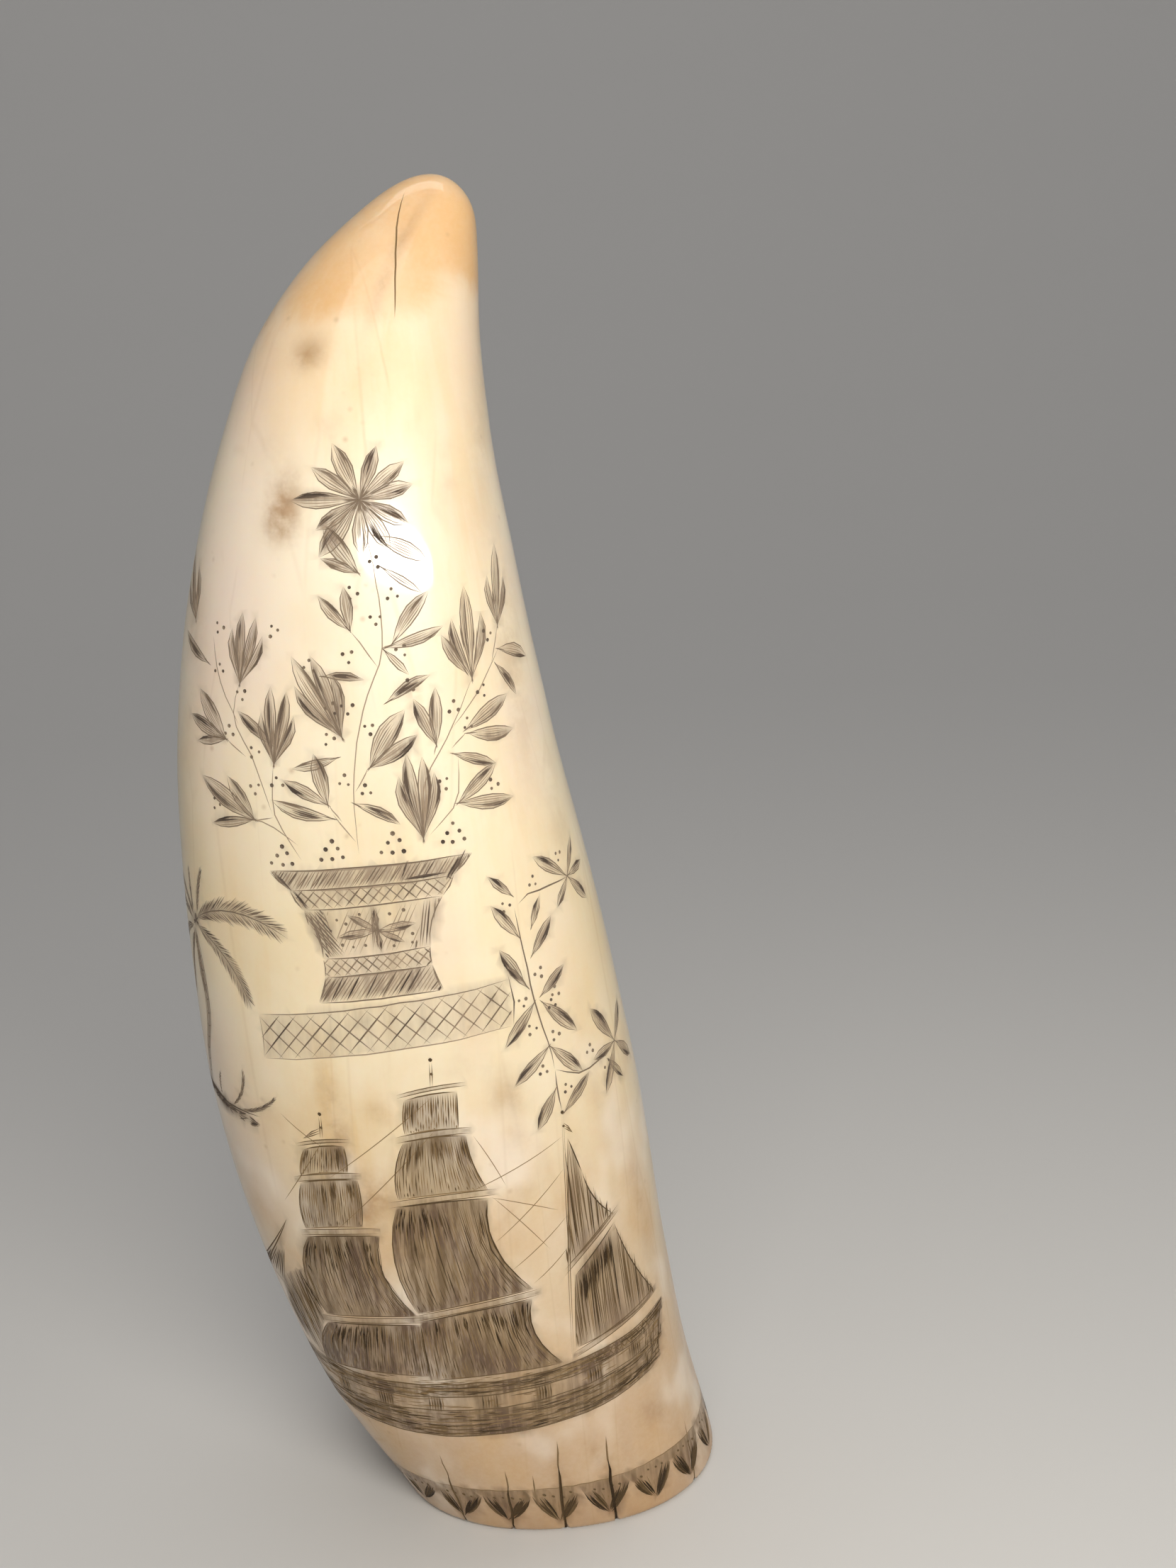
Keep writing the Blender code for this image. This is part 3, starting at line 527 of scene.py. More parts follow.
def drawUrn():
    def about(points):
        return [(urn["middle"] + dx, z) for dx, z in points]

    for level in range(len(urn["levels"])):
        left, right = urnPoint(-1, level), urnPoint(1, level)
        cut([jitter(p, 0.06) for p in bowed(left, right, -0.1, 0, 1, 9)], 0.17, 0.56)
        if level in (0, 1, 4):
            cut(bowed(left, right, -0.25, vary(0, 0.3), vary(0.7, 1), 6), 0.12, 0.45)
    for side in (-1, 1):
        for level, sag in enumerate(urn["bow"]):
            for _ in range(2):
                top, foot = (jitter(urnPoint(side, level + k), 0.08) for k in (0, 1))
                cut(bowed(top, foot, side * sag), 0.15, 0.56)
    hatch(urnBand(0, 1), 0.36, 55, 0.13, 0.5)
    hatch(urnBand(0, 1), 0.6, 50, 0.13, 0.6, 0.4)
    for heading in (47, -43):
        hatch(urnBand(1, 2), 0.95, heading, 0.15, 0.55, 0.0, 0.06)
        hatch(urnBand(3, 4), 0.85, heading, 0.14, 0.5, 0.0, 0.06)
    hatch(urnBand(4, 5), 0.36, 52, 0.14, 0.5)
    hatch(urnBand(4, 5), 0.8, 57, 0.2, 0.7, 0.5)
    # shaded shoulders beside the middle panel, and the panel's own fine shading
    for corners, spacing, heading, width, tone, skip in (
            (((-8.1, 84.4), (-5.9, 84.6), (-3.6, 79.3), (-5.7, 79.1)), 0.3, -52, 0.18, 0.66, 0.05),
            (((-8.1, 84.4), (-5.2, 84.6), (-4.6, 79.3), (-5.7, 79.1)), 0.5, -75, 0.15, 0.55, 0.1),
            (((5.8, 84.9), (7.7, 85), (5.5, 79.5), (4.4, 79.5)), 0.32, 80, 0.16, 0.6, 0.1),
            (((-5.4, 84.4), (6, 84.9), (4.6, 79.4), (-4.4, 79.2)), 0.5, 62, 0.1, 0.3, 0.3)):
        hatch(about(corners), spacing, heading, width, tone, skip)
    # rim's dark accents
    for base, tip in (((5.4, 87.5), (10.6, 87.7)), ((5.4, 87.5), (6.4, 89.6)),
                      ((-9.2, 89), (-7, 86.9)), ((13, 89.9), (10.8, 86.9)),
                      ((12.2, 89.4), (10.4, 86.9)), ((-7, 87), (-5.4, 84.8))):
        for _ in range(3):
            cut([jitter(base, 0.12), jitter(between(base, tip, 0.5), 0.12), jitter(tip, 0.15)],
                vary(0.15, 0.24), vary(0.62, 0.85))
    # leaves meet in the panel, with dots round them
    hub, *tips = about(((0.3, 81.9), (-4.4, 81.4), (4.7, 82.4), (0.1, 84.5), (0.5, 79.4),
                        (-3, 83.9), (3.3, 80.3)))
    for tip, full in zip(tips, (0.13, 0.14, 0.15, 0.15, 0.12, 0.12)):
        leaf(hub, tip, full, 0.5, 0.55)
    for k in range(6):
        x = urn["middle"] + 0.05 + 0.14 * (k - 2.5)
        cut([jitter((x, 84.7), 0.1), (x + 0.02, 82), jitter((x, 79.8), 0.2)], 0.13, 0.6)
    for spot in about(((-4.2, 83.4), (-3.2, 82.9), (-3.8, 80.5), (-1.2, 80.3), (1.8, 83.7),
                       (3.4, 84), (4.2, 81.2), (4.1, 80.2), (-1.6, 83.9), (2, 80), (-2.6, 80.2),
                       (-5, 82.2))):
        dot(*spot, vary(0.15, 0.23), 0.65)
    for level, amount in enumerate((0.55, 0.44, 0.32, 0.42, 0.62)):
        tint(urnBand(level, level + 1), amount)
    tint(about(((-8.1, 84.4), (-5.0, 84.6), (-4.4, 79.3), (-6.1, 79))), 0.3)
    tint(about(((5.4, 84.9), (7.8, 85), (6, 79.5), (4.2, 79.5))), 0.28)


plinth = {"left": -13.2, "right": 17.0, "low": 66.7, "high": 72.1, "rise": 0.068, "pitch": 2.2}


def drawPlinth():
    left, right, low, high = (plinth[k] for k in ("left", "right", "low", "high"))

    def at(x, z):
        return (x, z + plinth["rise"] * (x - left))

    for z, tone in ((low, 0.42), (high, 0.5)):
        cut([jitter(at(left + (right - left) * k / 14, z), 0.07) for k in range(15)], 0.15, tone)
    cut([at(left, low), at(left + 0.2, (low + high) / 2), at(left, high)], 0.14, 0.4)
    cut([at(right, low), at(right + 0.3, (low + high) / 2), at(right - 0.2, high + 0.8)], 0.2, 0.75)
    tint([at(left, low), at(right, low), at(right, high + 0.5), at(left, high)], 0.28)
    diamond = ((-2.1, 1.5), (-0.7, 0.1), (0.6, 1.5), (-0.7, 2.9))
    tint([at(x, high - drop) for x, drop in diamond], 0.3)
    reach = high - low
    for lean, tone in ((1, 0.55), (-1, 0.46)):
        x = left - reach + 0.6
        while x < right - 0.4:
            start, stop = (x, low), (x + reach, high)
            # the ends that would pass the band's own ends stay inside it
            s0 = max(0.0, (left - x) / reach)
            s1 = min(1.0, (right - x) / reach)
            if s1 - s0 > 0.15:
                a, b = between(start, stop, s0), between(start, stop, s1)
                if lean < 0:
                    a, b = (a[0], low + high - a[1]), (b[0], low + high - b[1])
                a, b = at(*jitter(a, 0.08)), at(*jitter(b, 0.08))
                cut([a, between(a, b, 0.33), between(a, b, 0.66), b], vary(0.14, 0.2),
                    tone * vary(0.75, 1.25))
                if rng.random() < 0.35:
                    s = vary(0.1, 0.7)
                    cut([between(a, b, s), between(a, b, s + 0.25)], 0.2, 0.64)
            x += plinth["pitch"] * vary(0.94, 1.06)


def frond(start, end, sag, feather, tone=0.62):
    # curved rib with feathered strokes that lean to its tip
    length = math.dist(start, end)
    cut(bowed(start, end, sag), 0.16, tone)
    count = int(length / 0.46)
    edges = {}
    for side in (-1, 1):
        edges[side] = []
        for k in range(count):
            s = 0.02 + 0.86 * k / count
            root = bowed(start, end, sag, s, min(1.0, s + 0.02), 2)
            ahead = bowed(start, end, sag, min(0.98, s + 0.14), 1.0, 2)[0]
            reach = feather * math.sin(math.pi * (0.16 + 0.8 * s)) ** 0.8 * vary(0.75, 1.1)
            run = math.dist(root[0], ahead) or 1.0
            across = ((root[0][1] - ahead[1]) / run * side, (ahead[0] - root[0][0]) / run * side)
            tip = (ahead[0] + across[0] * reach, ahead[1] + across[1] * reach)
            cut([root[0], jitter(between(root[0], tip, 0.55), 0.05), tip], vary(0.12, 0.19),
                tone * vary(0.6, 1.2))
            edges[side].append(between(root[0], tip, 0.8))
    tint([start] + edges[1] + [end] + edges[-1][::-1], 0.42)
    for _ in range(max(1, count // 6)):
        s = vary(0.1, 0.85)
        wash(bowed(start, end, sag, s, s + 0.08, 3), 0.5 * feather, 0.55)


palm = {
    "crown": (-23.6, 81.9),
    # start, tip, bow and reach of the leaflets
    "fronds": (((-23.3, 82.2), (-8.1, 81.3), 2.3, 1.75), ((-23.2, 81.4), (-14.2, 72.4), 1.7, 1.35),
               ((-24, 80.6), (-23.3, 72.4), -0.4, 0.6), ((-24.2, 82.8), (-24.4, 88.6), 0.1, 0.4),
               ((-23, 82.8), (-20.6, 88.9), 0.2, 0.42), ((-24.2, 82.4), (-31, 87.2), -0.8, 0.7),
               ((-24.4, 81.8), (-36, 81.4), -2.2, 0.9), ((-24.4, 81.2), (-33, 73.4), -1.8, 0.8),
               ((-24.2, 80.8), (-28, 71.4), -0.8, 0.6)),
    "trunk": ((-24.0, 81), (-22.8, 74.6), (-22.9, 69.6), (-24.6, 65.6), (-26.2, 60.6)),
    "reeds": (((-20.2, 59.4), (-17.2, 64.9), -0.9, 0.3), ((-18.6, 59.2), (-12.2, 62.0), -0.7, 0.35),
              ((-23, 60), (-22.2, 63.4), 0.3, 0.3), ((-27, 60.4), (-30.6, 65.4), 0.9, 0.35)),
}


def drawPalm():
    for start, tip, sag, feather in palm["fronds"]:
        frond(start, tip, sag, feather)
    heart = palm["crown"]
    wash([(heart[0] - 0.5, heart[1]), heart, (heart[0] + 0.5, heart[1])], 1.0, 0.9)
    for _ in range(12):     # short strokes where the fronds spring from
        cut([heart, polar(heart, 0.9, math.radians(vary(-70, 250)))], 0.2, 0.7)
    trunk = curve(palm["trunk"])
    for k in range(4):
        cut([jitter((x - 0.36 * k, z), 0.05) for x, z in trunk], 0.17, 0.66 - 0.08 * k)
    for x, z in trunk[1:-1]:     # its rings
        cut([(x - 1.15, z + 0.1), (x - 0.6, z - 0.2), (x + 0.05, z)], 0.18, 0.66)
    tintStrip(trunk, [(x - 1.1, z) for x, z in trunk], 0.45)
    # the dark bank it stands on, with reeds
    bank = curve(((-36, 60.6), (-29, 60.8), (-24, 59.9), (-20.8, 59.2), (-15.2, 58.9)), 2.2)
    for k in range(4):
        cut([jitter((x, z - 0.3 * k), 0.12) for x, z in bank[k:len(bank) - k]], 0.24, 0.8)
    for _ in range(60):
        x, z = rng.choice(bank[:-1])
        cut([(x, z - vary(0, 1.5)), (x + vary(0.9, 2.2), z - vary(0.1, 1.5))],
            vary(0.15, 0.25), vary(0.45, 0.9))
    wash([(x, z - 0.7) for x, z in bank[1:-1]], 0.9, 0.6)
    for start, tip, sag, feather in palm["reeds"]:
        frond(start, tip, sag, feather, 0.6)


sprayStems = (
    ((21.8, 62.2), (21.5, 64.6), (20.6, 68), (19.8, 71.4), (19.4, 75), (18.8, 78.9), (18.4, 82.2)),
    ((18.9, 82.5), (19.9, 83.2), (22.6, 83.5), (27.3, 83.7)),
    ((22.2, 57), (21.9, 59.6), (21.8, 62.2)),
    ((21.8, 62.2), (25.9, 60.7), (29.4, 61.3), (32.4, 62.1)),
)
sprayLeaves = (
    ((18.3, 83.6), (15.3, 86.4), 0.15, 0.9), ((18.7, 78.7), (15.4, 83), 0.15, 0.5),
    ((18.8, 73.4), (16, 77.8), 0.15, 1), ((19.3, 72.6), (16.5, 76), 0.1, 0.8),
    ((19.9, 70.8), (15.7, 66.2), 0.13, 0.35), ((21.3, 65.2), (16.4, 61.4), 0.13, 0.35),
    ((20.8, 71.3), (24.7, 74.1), 0.16, 0.6), ((20.9, 70.6), (25.7, 65.8), 0.14, 0.5),
    ((21.5, 65.1), (25.9, 60.7), 0.15, 0.5), ((20.4, 79.4), (22, 82.8), 0.15, 0.5),
    ((20.1, 76.2), (23.5, 80.2), 0.15, 0.8), ((21.6, 59.9), (18.8, 55.5), 0.17, 0.6),
    ((22.5, 56.8), (26.9, 60.4), 0.14, 0.35), ((30.6, 60.6), (33.8, 57.2), 0.13, 0.5),
)
sprayFlowers = (
    ((27.3, 83.8), ((29.7, 88.1), (21.6, 87.4), (31.8, 84.6), (31.6, 80), (24.6, 80.7))),
    ((32.8, 62.1), ((28.3, 67.6), (36.4, 66.2), (37.8, 58.5), (29.4, 56.6), (27.8, 61.5))),
)
sprayDots = (
    (21.2, 84.6, 90), (17.3, 82.6, 0), (20.9, 74.1, 60), (22.9, 71.3, 90), (22.3, 69.9, -30),
    (18.4, 71.2, -90), (19.3, 67.7, 0), (22.3, 66.3, 0), (20.3, 62.6, 90), (23.3, 59.6, 0),
    (27.4, 62.9, 90), (30.4, 59.9, -60), (26, 86.6, 30),
)


def drawSpray():
    for knots in sprayStems:
        cut([jitter(p, 0.04) for p in curve(knots)], 0.2, 0.66)
    for base, tip, full, dark in sprayLeaves:
        leaf(base, tip, full, min(1.0, dark + 0.2), 0.66)
    for heart, tips in sprayFlowers:
        for tip in tips:
            leaf(between(heart, tip, 0.03), tip, vary(0.12, 0.16), vary(0.5, 1.0), 0.66,
                 0, 1.3)
    for x, z, heading in sprayDots:
        triad(x, z, 0.6, heading)


# a square sail: corners at top left, top right, foot right and foot left, how far its left and
# right edges swell outward, and how much ink the canvas holds
foreSails = (
    ((-9.4, 55.6), (-4.2, 56.3), (-4.1, 52.9), (-10.4, 52.0), 0.2, 0.1, 0.5),
    ((-10.5, 51.1), (-3.0, 52.0), (-3.1, 45.8), (-10.9, 44.7), 0.5, 0.2, 0.6),
    ((-10.8, 43.6), (-1.1, 44.7), (2.3, 33.6), (-10.0, 32.4), 2.0, -1.8, 0.96),
    ((-10.1, 31.2), (2.5, 32.4), (2.9, 24.9), (-12.4, 24.2), 0.9, 0.0, 0.94),
)
mainSails = (
    ((3.5, 61.7), (9.6, 62.1), (9.4, 57.6), (3.2, 57.5), 0.2, 0.0, 0.36),
    ((2.9, 56.6), (10.2, 56.7), (12.2, 49.6), (1.6, 49.4), 0.6, -0.5, 0.6),
    ((1.3, 48.4), (12.1, 48.5), (16.5, 35.7), (2.4, 33.9), 1.5, -1.9, 0.92),
    ((2.5, 32.8), (16.2, 34.5), (19.4, 24.9), (2.9, 24.3), 0.0, -1.6, 0.94),
)


def sailSide(sail, side, s, swell=1.0):
    # point on a sail's side edge, s from its top to its foot
    topLeft, topRight, footRight, footLeft, outLeft, outRight, _ = sail
    top, foot, out = (topLeft, footLeft, -outLeft) if side < 0 else (topRight, footRight, outRight)
    x, z = between(top, foot, s)
    return (x + swell * out * 4 * s * (1 - s), z)


def drawSail(sail):
    stain = sail[6]
    press = 0.55 + 0.5 * stain      # the low sails are the darkest
    leftEdge, rightEdge = ([sailSide(sail, side, k / 6) for k in range(7)] for side in (-1, 1))
    head, foot = bowed(leftEdge[0], rightEdge[0], 0.3), bowed(leftEdge[-1], rightEdge[-1], 0.3)
    for line, width, tone in ((leftEdge, 0.16, 0.6), (rightEdge, 0.17, 0.68), (head, 0.18, 0.72),
                              (foot, 0.15, 0.56)):
        cut(line, width, tone * press)
    tint(head + rightEdge[1:-1] + foot[::-1] + leftEdge[-2:0:-1], stain)
    tall, width = leftEdge[0][1] - leftEdge[-1][1], math.dist(leftEdge[3], rightEdge[3])

    def inSail(share, s):
        # the canvas hangs straight in the middle and follows the swell only near its edges
        swell = abs(2 * share - 1) ** 1.5
        x, z = between(sailSide(sail, -1, s, swell), sailSide(sail, 1, s, swell), share)
        return (x, z + 0.3 * math.sin(math.pi * share))

    def shade(share, s, stop, wide, tone):
        cut([inSail(share, s), inSail(share, (s + stop) / 2), inSail(share, stop)], wide, tone)

    columns = int(width / 0.3)
    for k in range(columns):
        # each column of shading is two or three strokes that run on from one another
        share, s = (k + vary(0.35, 0.65)) / columns, vary(0.01, 0.06)
        while s < 0.94:
            stop = min(0.985, s + vary(0.25, 0.95))
            shade(share, s, stop, vary(0.1, 0.19), press * vary(0.3, 0.78))
            s = stop + vary(-0.03, 0.03)
    clumps = [vary(0.04, 0.96) for _ in range(3 + int(width / 3))]
    for _ in range(int(3.8 * width * stain)):       # darker canvas under the yard, in clumps
        share = min(0.97, max(0.03, rng.choice(clumps) + rng.gauss(0, 0.045)))
        s = abs(rng.gauss(0.02, 0.12))
        stop = min(0.97, s + vary(0.8, 3.4) / tall)
        if s < stop:
            shade(share, s, stop, vary(0.14, 0.23), press * vary(0.55, 0.95))
    for share in clumps:
        wash([inSail(share, 0.04), inSail(share, 0.04 + vary(1, 3) / tall)], 0.7, 0.7 * stain)
    for _ in range(3 + int(width / 3)):        # uneven rubbing lower down
        spot = (vary(0.05, 0.95), vary(0.2, 0.95))
        foot = inSail(spot[0], min(1.0, spot[1] + 1.5 / tall))
        wash([inSail(*spot), foot], vary(0.4, 1.0), 0.6)


def drawYard(left, right, half=0.36):
    # a yard is a pair of lines with lightly stained ivory between them
    lines = [[(x, z + lift) for x, z in bowed(left, right, 0.3)] for lift in (half, -half)]
    for line, tone in zip(lines, (0.52, 0.6)):
        cut(line, 0.13, tone)
    tintStrip(*lines, 0.52)


def hullLine(share, x):
    # height of the hull at a share from keel to deck: it sweeps up to the stern
    deck = 23.7 + 0.0026 * (x - 2) ** 2
    keel = 15.9 + 0.0036 * (x - 2) ** 2
    return keel + share * (deck - keel)


def drawShip():
    for sail in foreSails + mainSails:
        drawSail(sail)
    for sails in (foreSails, mainSails):
        for upper, lower in zip(sails, sails[1:]):      # a yard in each gap
            left, right = between(upper[3], lower[0], 0.5), between(upper[2], lower[1], 0.5)
            drawYard((left[0] - 1.0, left[1] - 0.15), (right[0] + 1.2, right[1] + 0.1))
    drawYard((2.6, 62.2), (10.8, 62.9), 0.2)
    drawYard((-10.4, 56.1), (-3.4, 57.0), 0.2)
    # masts, seen between the sails and above them, with a small finial each
    for x, top, foot in ((-6.7, 60, 57.2), (6.9, 66, 63), (22.2, 56.6, 25.4)):
        tall = top - foot
        for left in (x - 0.13, x + 0.13):
            cut([(left, top), (left - 0.02 * tall, (top + foot) / 2), (left - 0.05 * tall, foot)],
                0.13, 0.6)
        dot(x, top + 0.3, 0.24, 0.7)
        dot(x, top - 1.4, 0.18, 0.6)
    # pennants
    for x, z, reach in ((-6.7, 58.6, -2.6), (22.2, 55.6, 1.2)):
        for k in range(3):
            cut([(x, z - 0.3 * k), (x + reach * 0.5, z - 0.6 - 0.25 * k), (x + reach, z - 1.6)],
                0.14, 0.6)
    drawMizzen()
    drawJibs()
    # rigging: thin stays
    for a, b in (((6.9, 62), (-6.7, 52)), ((6.9, 58), (-6.7, 45)), ((21.9, 54), (9.6, 49.5)),
                 ((21.7, 50), (12.4, 42.6)), ((21.6, 44), (14, 38.6)), ((21.4, 40), (16.6, 36.4)),
                 ((-6.7, 57), (-13.6, 48)), ((11, 56.6), (14.4, 49.6)), ((-6.7, 56), (-12, 60)),
                 ((12.6, 48.6), (19, 40.4)), ((12.2, 48.6), (20.6, 45))):
        cut(bowed(a, b, 0.15), 0.11, 0.36)
    drawHull()


def drawMizzen():
    # gaff topsail over the spanker
    topsail = [(22.6, 53.6), (24.2, 48.7), (28.3, 41.8), (21.2, 37.7)]
    spanker = [(21.9, 35.9), (28.3, 40.6), (34.6, 28.4), (21.2, 26.4)]
    for corners, amount in ((topsail, 0.46), (spanker, 0.62)):
        leech = bowed(corners[1], corners[2], -0.7)
        for line in (leech, bowed(corners[0], corners[1], 0.0)):
            cut(line, 0.18, 0.7)
        for k in (2, 3):
            cut(bowed(corners[k], corners[(k + 1) % 4], 0.0), 0.15, 0.58)
        tint([corners[0]] + leech + [corners[3]], amount)
        hatch(corners, 0.31, 92, 0.13, 0.55, 0.05, 0.25)
        hatch(corners, 0.6, 93, 0.18, 0.7, 0.3, 0.45)
    inner = (22.4, 36.2)
    for _ in range(44):     # the spanker's folds are dark under the gaff
        x, z = between(inner, spanker[1], vary(0.02, 0.85))
        cut([(x, z - vary(0, 1.4)), (x + 0.1, z - vary(2, 3)), (x, z - vary(3.2, 5.2))],
            vary(0.15, 0.24), vary(0.68, 0.95))
    wash([between(inner, spanker[1], s) for s in (0.2, 0.5, 0.8)], 2.0, 0.5)
    drawYard((20.6, 36.7), (29.4, 42.2))
    drawYard((20.6, 25.4), (35.4, 28.7))


def drawJibs():
    # the bowsprit, two jibs and the dark staysail next to the fore course
    for k in range(3):
        cut(curve(((-20, 25.6 + 0.5 * k), (-26, 29.4 + 0.4 * k), (-32, 33.4 + 0.2 * k)), 2.4),
            0.17, 0.6)
    staysail = [(-11.4, 39.4), (-17.6, 35.6), (-18.6, 31), (-16.6, 26.4), (-12.8, 25.2),
                (-10.6, 32)]
    tint(staysail, 0.62)
    hatch(staysail, 0.34, 104, 0.16, 0.6, 0.05, 0.3)
    hatch(staysail, 0.7, 112, 0.22, 0.78, 0.3, 0.5)
    wash([(-15, 36), (-16.6, 32), (-15.2, 28)], 1.6, 0.6)
    head = (-13.8, 45.4)
    for foot, sag in (((-29.4, 33.4), 1.6), ((-22.6, 35.6), 0.7)):
        tack, clew = foot, (foot[0] + 5.2, foot[1] - 1.4)
        luff = bowed(head, tack, sag)
        cut(luff, 0.18, 0.66)
        cut([tack, between(tack, clew, 0.5), clew], 0.15, 0.56)
        tint(luff + [clew], 0.34)
        for k in range(9):
            low = between(tack, clew, (k + 0.5) / 9)
            cut(bowed(head, low, sag * (1 - 0.1 * k), vary(0.4, 0.65), vary(0.85, 1)),
                vary(0.12, 0.2), vary(0.45, 0.8))


hull = {
    "bow": -21.5, "stern": 36.3,
    # wales, pale strake and rail: their shares from keel to deck, grain strokes, tone and stain
    "strakes": ((0.0, 0.26, 220, 0.62, 0.97), (0.26, 0.5, 160, 0.6, 0.94),
                (0.5, 0.76, 50, 0.38, 0.55), (0.76, 1.0, 190, 0.6, 0.95)),
    # share, width and tone
    "lines": ((1.0, 0.2, 0.62), (0.9, 0.13, 0.46), (0.76, 0.16, 0.6), (0.5, 0.16, 0.6),
              (0.26, 0.14, 0.44), (0.0, 0.18, 0.6)),
    "ports": (-16.8, -10.1, -3.5, 3.2, 9.9, 16.6, 23.2, 29.4),
}


def hullEnds(share):
    return hull["bow"] + 5.5 * (1 - share), hull["stern"] - 2.6 * (1 - share) ** 1.5


def onHull(share, x):
    return (x, hullLine(share, x))


def drawHull():
    bow, stern = hull["bow"], hull["stern"]
    for share, width, tone in hull["lines"]:
        run = np.linspace(*hullEnds(share), 26)
        cut([jitter(onHull(share, x), 0.08) for x in run], width, tone)
    for end, sag in ((0, 0.7), (1, -0.7)):
        cut(bowed(onHull(1, hullEnds(1)[end]), onHull(0, hullEnds(0)[end]), sag), 0.19, 0.7)
    for low, high, count, tone, amount in hull["strakes"]:
        start, stop = hullEnds((low + high) / 2)
        for _ in range(count):      # long grain strokes
            share = vary(low + 0.03, high - 0.03)
            x = vary(start, stop - 1.5)
            reach = min(vary(1.2, 4.2), stop - x)
            run = [x + reach * j / 3 for j in range(4)]
            cut([(at, hullLine(share, at) + vary(-0.05, 0.05)) for at in run],
                vary(0.11, 0.21), tone * vary(0.6, 1.35))
        run = np.linspace(start, stop, 24)
        tintStrip([onHull(low, x) for x in run], [onHull(high, x) for x in run], amount)
    run = np.linspace(-14, 20, 24)      # the bulwark over the rail is only lightly rubbed
    tintStrip([onHull(1.0, x) for x in run], [onHull(1.16, x) for x in run], 0.4)
    for _ in range(36):
        x, share = vary(-14, 18), vary(1.02, 1.13)
        cut([onHull(share, x + step) for step in (0, 0.9, 1.8)], 0.12, vary(0.3, 0.6))
    for _ in range(60):     # uneven dark shading along the wale and the rail
        share, x = rng.choice((0.08, 0.2, 0.36, 0.84, 0.92)), vary(bow + 5, stern - 4)
        wash([onHull(share, x), (x + vary(0.5, 2), hullLine(share, x + 1))], 0.8, 0.6)
    # gun ports: dark upright patches on the pale strake
    for x in hull["ports"]:
        foot, middle, head = (hullLine(share, x) for share in (0.47, 0.63, 0.79))
        tint([(x - 1.0, foot), (x + 1.0, foot), (x + 1.0, head), (x - 1.0, head)], 0.85)
        for j in range(6):
            at = x + (-0.85 + 0.34 * j)
            cut([(at, foot), (at + 0.05, middle), (at, head)], vary(0.15, 0.26), vary(0.42, 0.78))
    # netting along the quarterdeck
    for k in range(14):
        x = 22.5 + 0.9 * k
        a, b = onHull(0.79, x), onHull(0.99, x + 1.1)
        for ends in ([a, b], [(a[0], b[1]), (b[0], a[1])]):
            cut(ends, 0.14, 0.64)
    # stern shading and the bow wave
    for _ in range(34):
        x = vary(stern - 5.5, stern - 1.4)
        z = hullLine(vary(0.05, 0.85), x)
        cut([(x, z), (x + vary(0.2, 0.7), z + vary(0.8, 1.6))], vary(0.13, 0.22), vary(0.5, 0.8))
    wash([onHull(0.3, stern - 4), onHull(0.7, stern - 2)], 2.0, 0.5)
    for _ in range(44):
        x = vary(-30, -14)
        z = 17.0 + 0.25 * abs(x + 20) + vary(-1.4, 1.6)
        cut([(x, z), (x + vary(0.8, 1.8), z + vary(-0.5, 0.3)),
             (x + vary(2, 3.6), z + vary(-0.2, 0.3))], vary(0.12, 0.18), vary(0.35, 0.65))
    wash([(-28, 19.4), (-22, 18), (-15, 17.2)], 1.6, 0.4)


borderRing = {
    "height": 7.0, "pitch": 6.5, "point": 1.7,
    "anchor": 1.15,        # two leaves meet here on the face; the ring closes at the back
}


def borderEdges(ringHeight):
    girth = halfGirthAt(ringHeight)
    middle = float(section(ringHeight)[0]) - whaleTooth["drawingMiddle"]
    edges = [borderRing["anchor"]]
    margin = whaleTooth["seamMargin"]
    for end in (middle - girth + margin, middle + girth - margin):
        reach = end - borderRing["anchor"]
        count = round(abs(reach) / borderRing["pitch"])
        edges += [borderRing["anchor"] + reach * (k + 1) / count for k in range(count)]
    return sorted(edges)


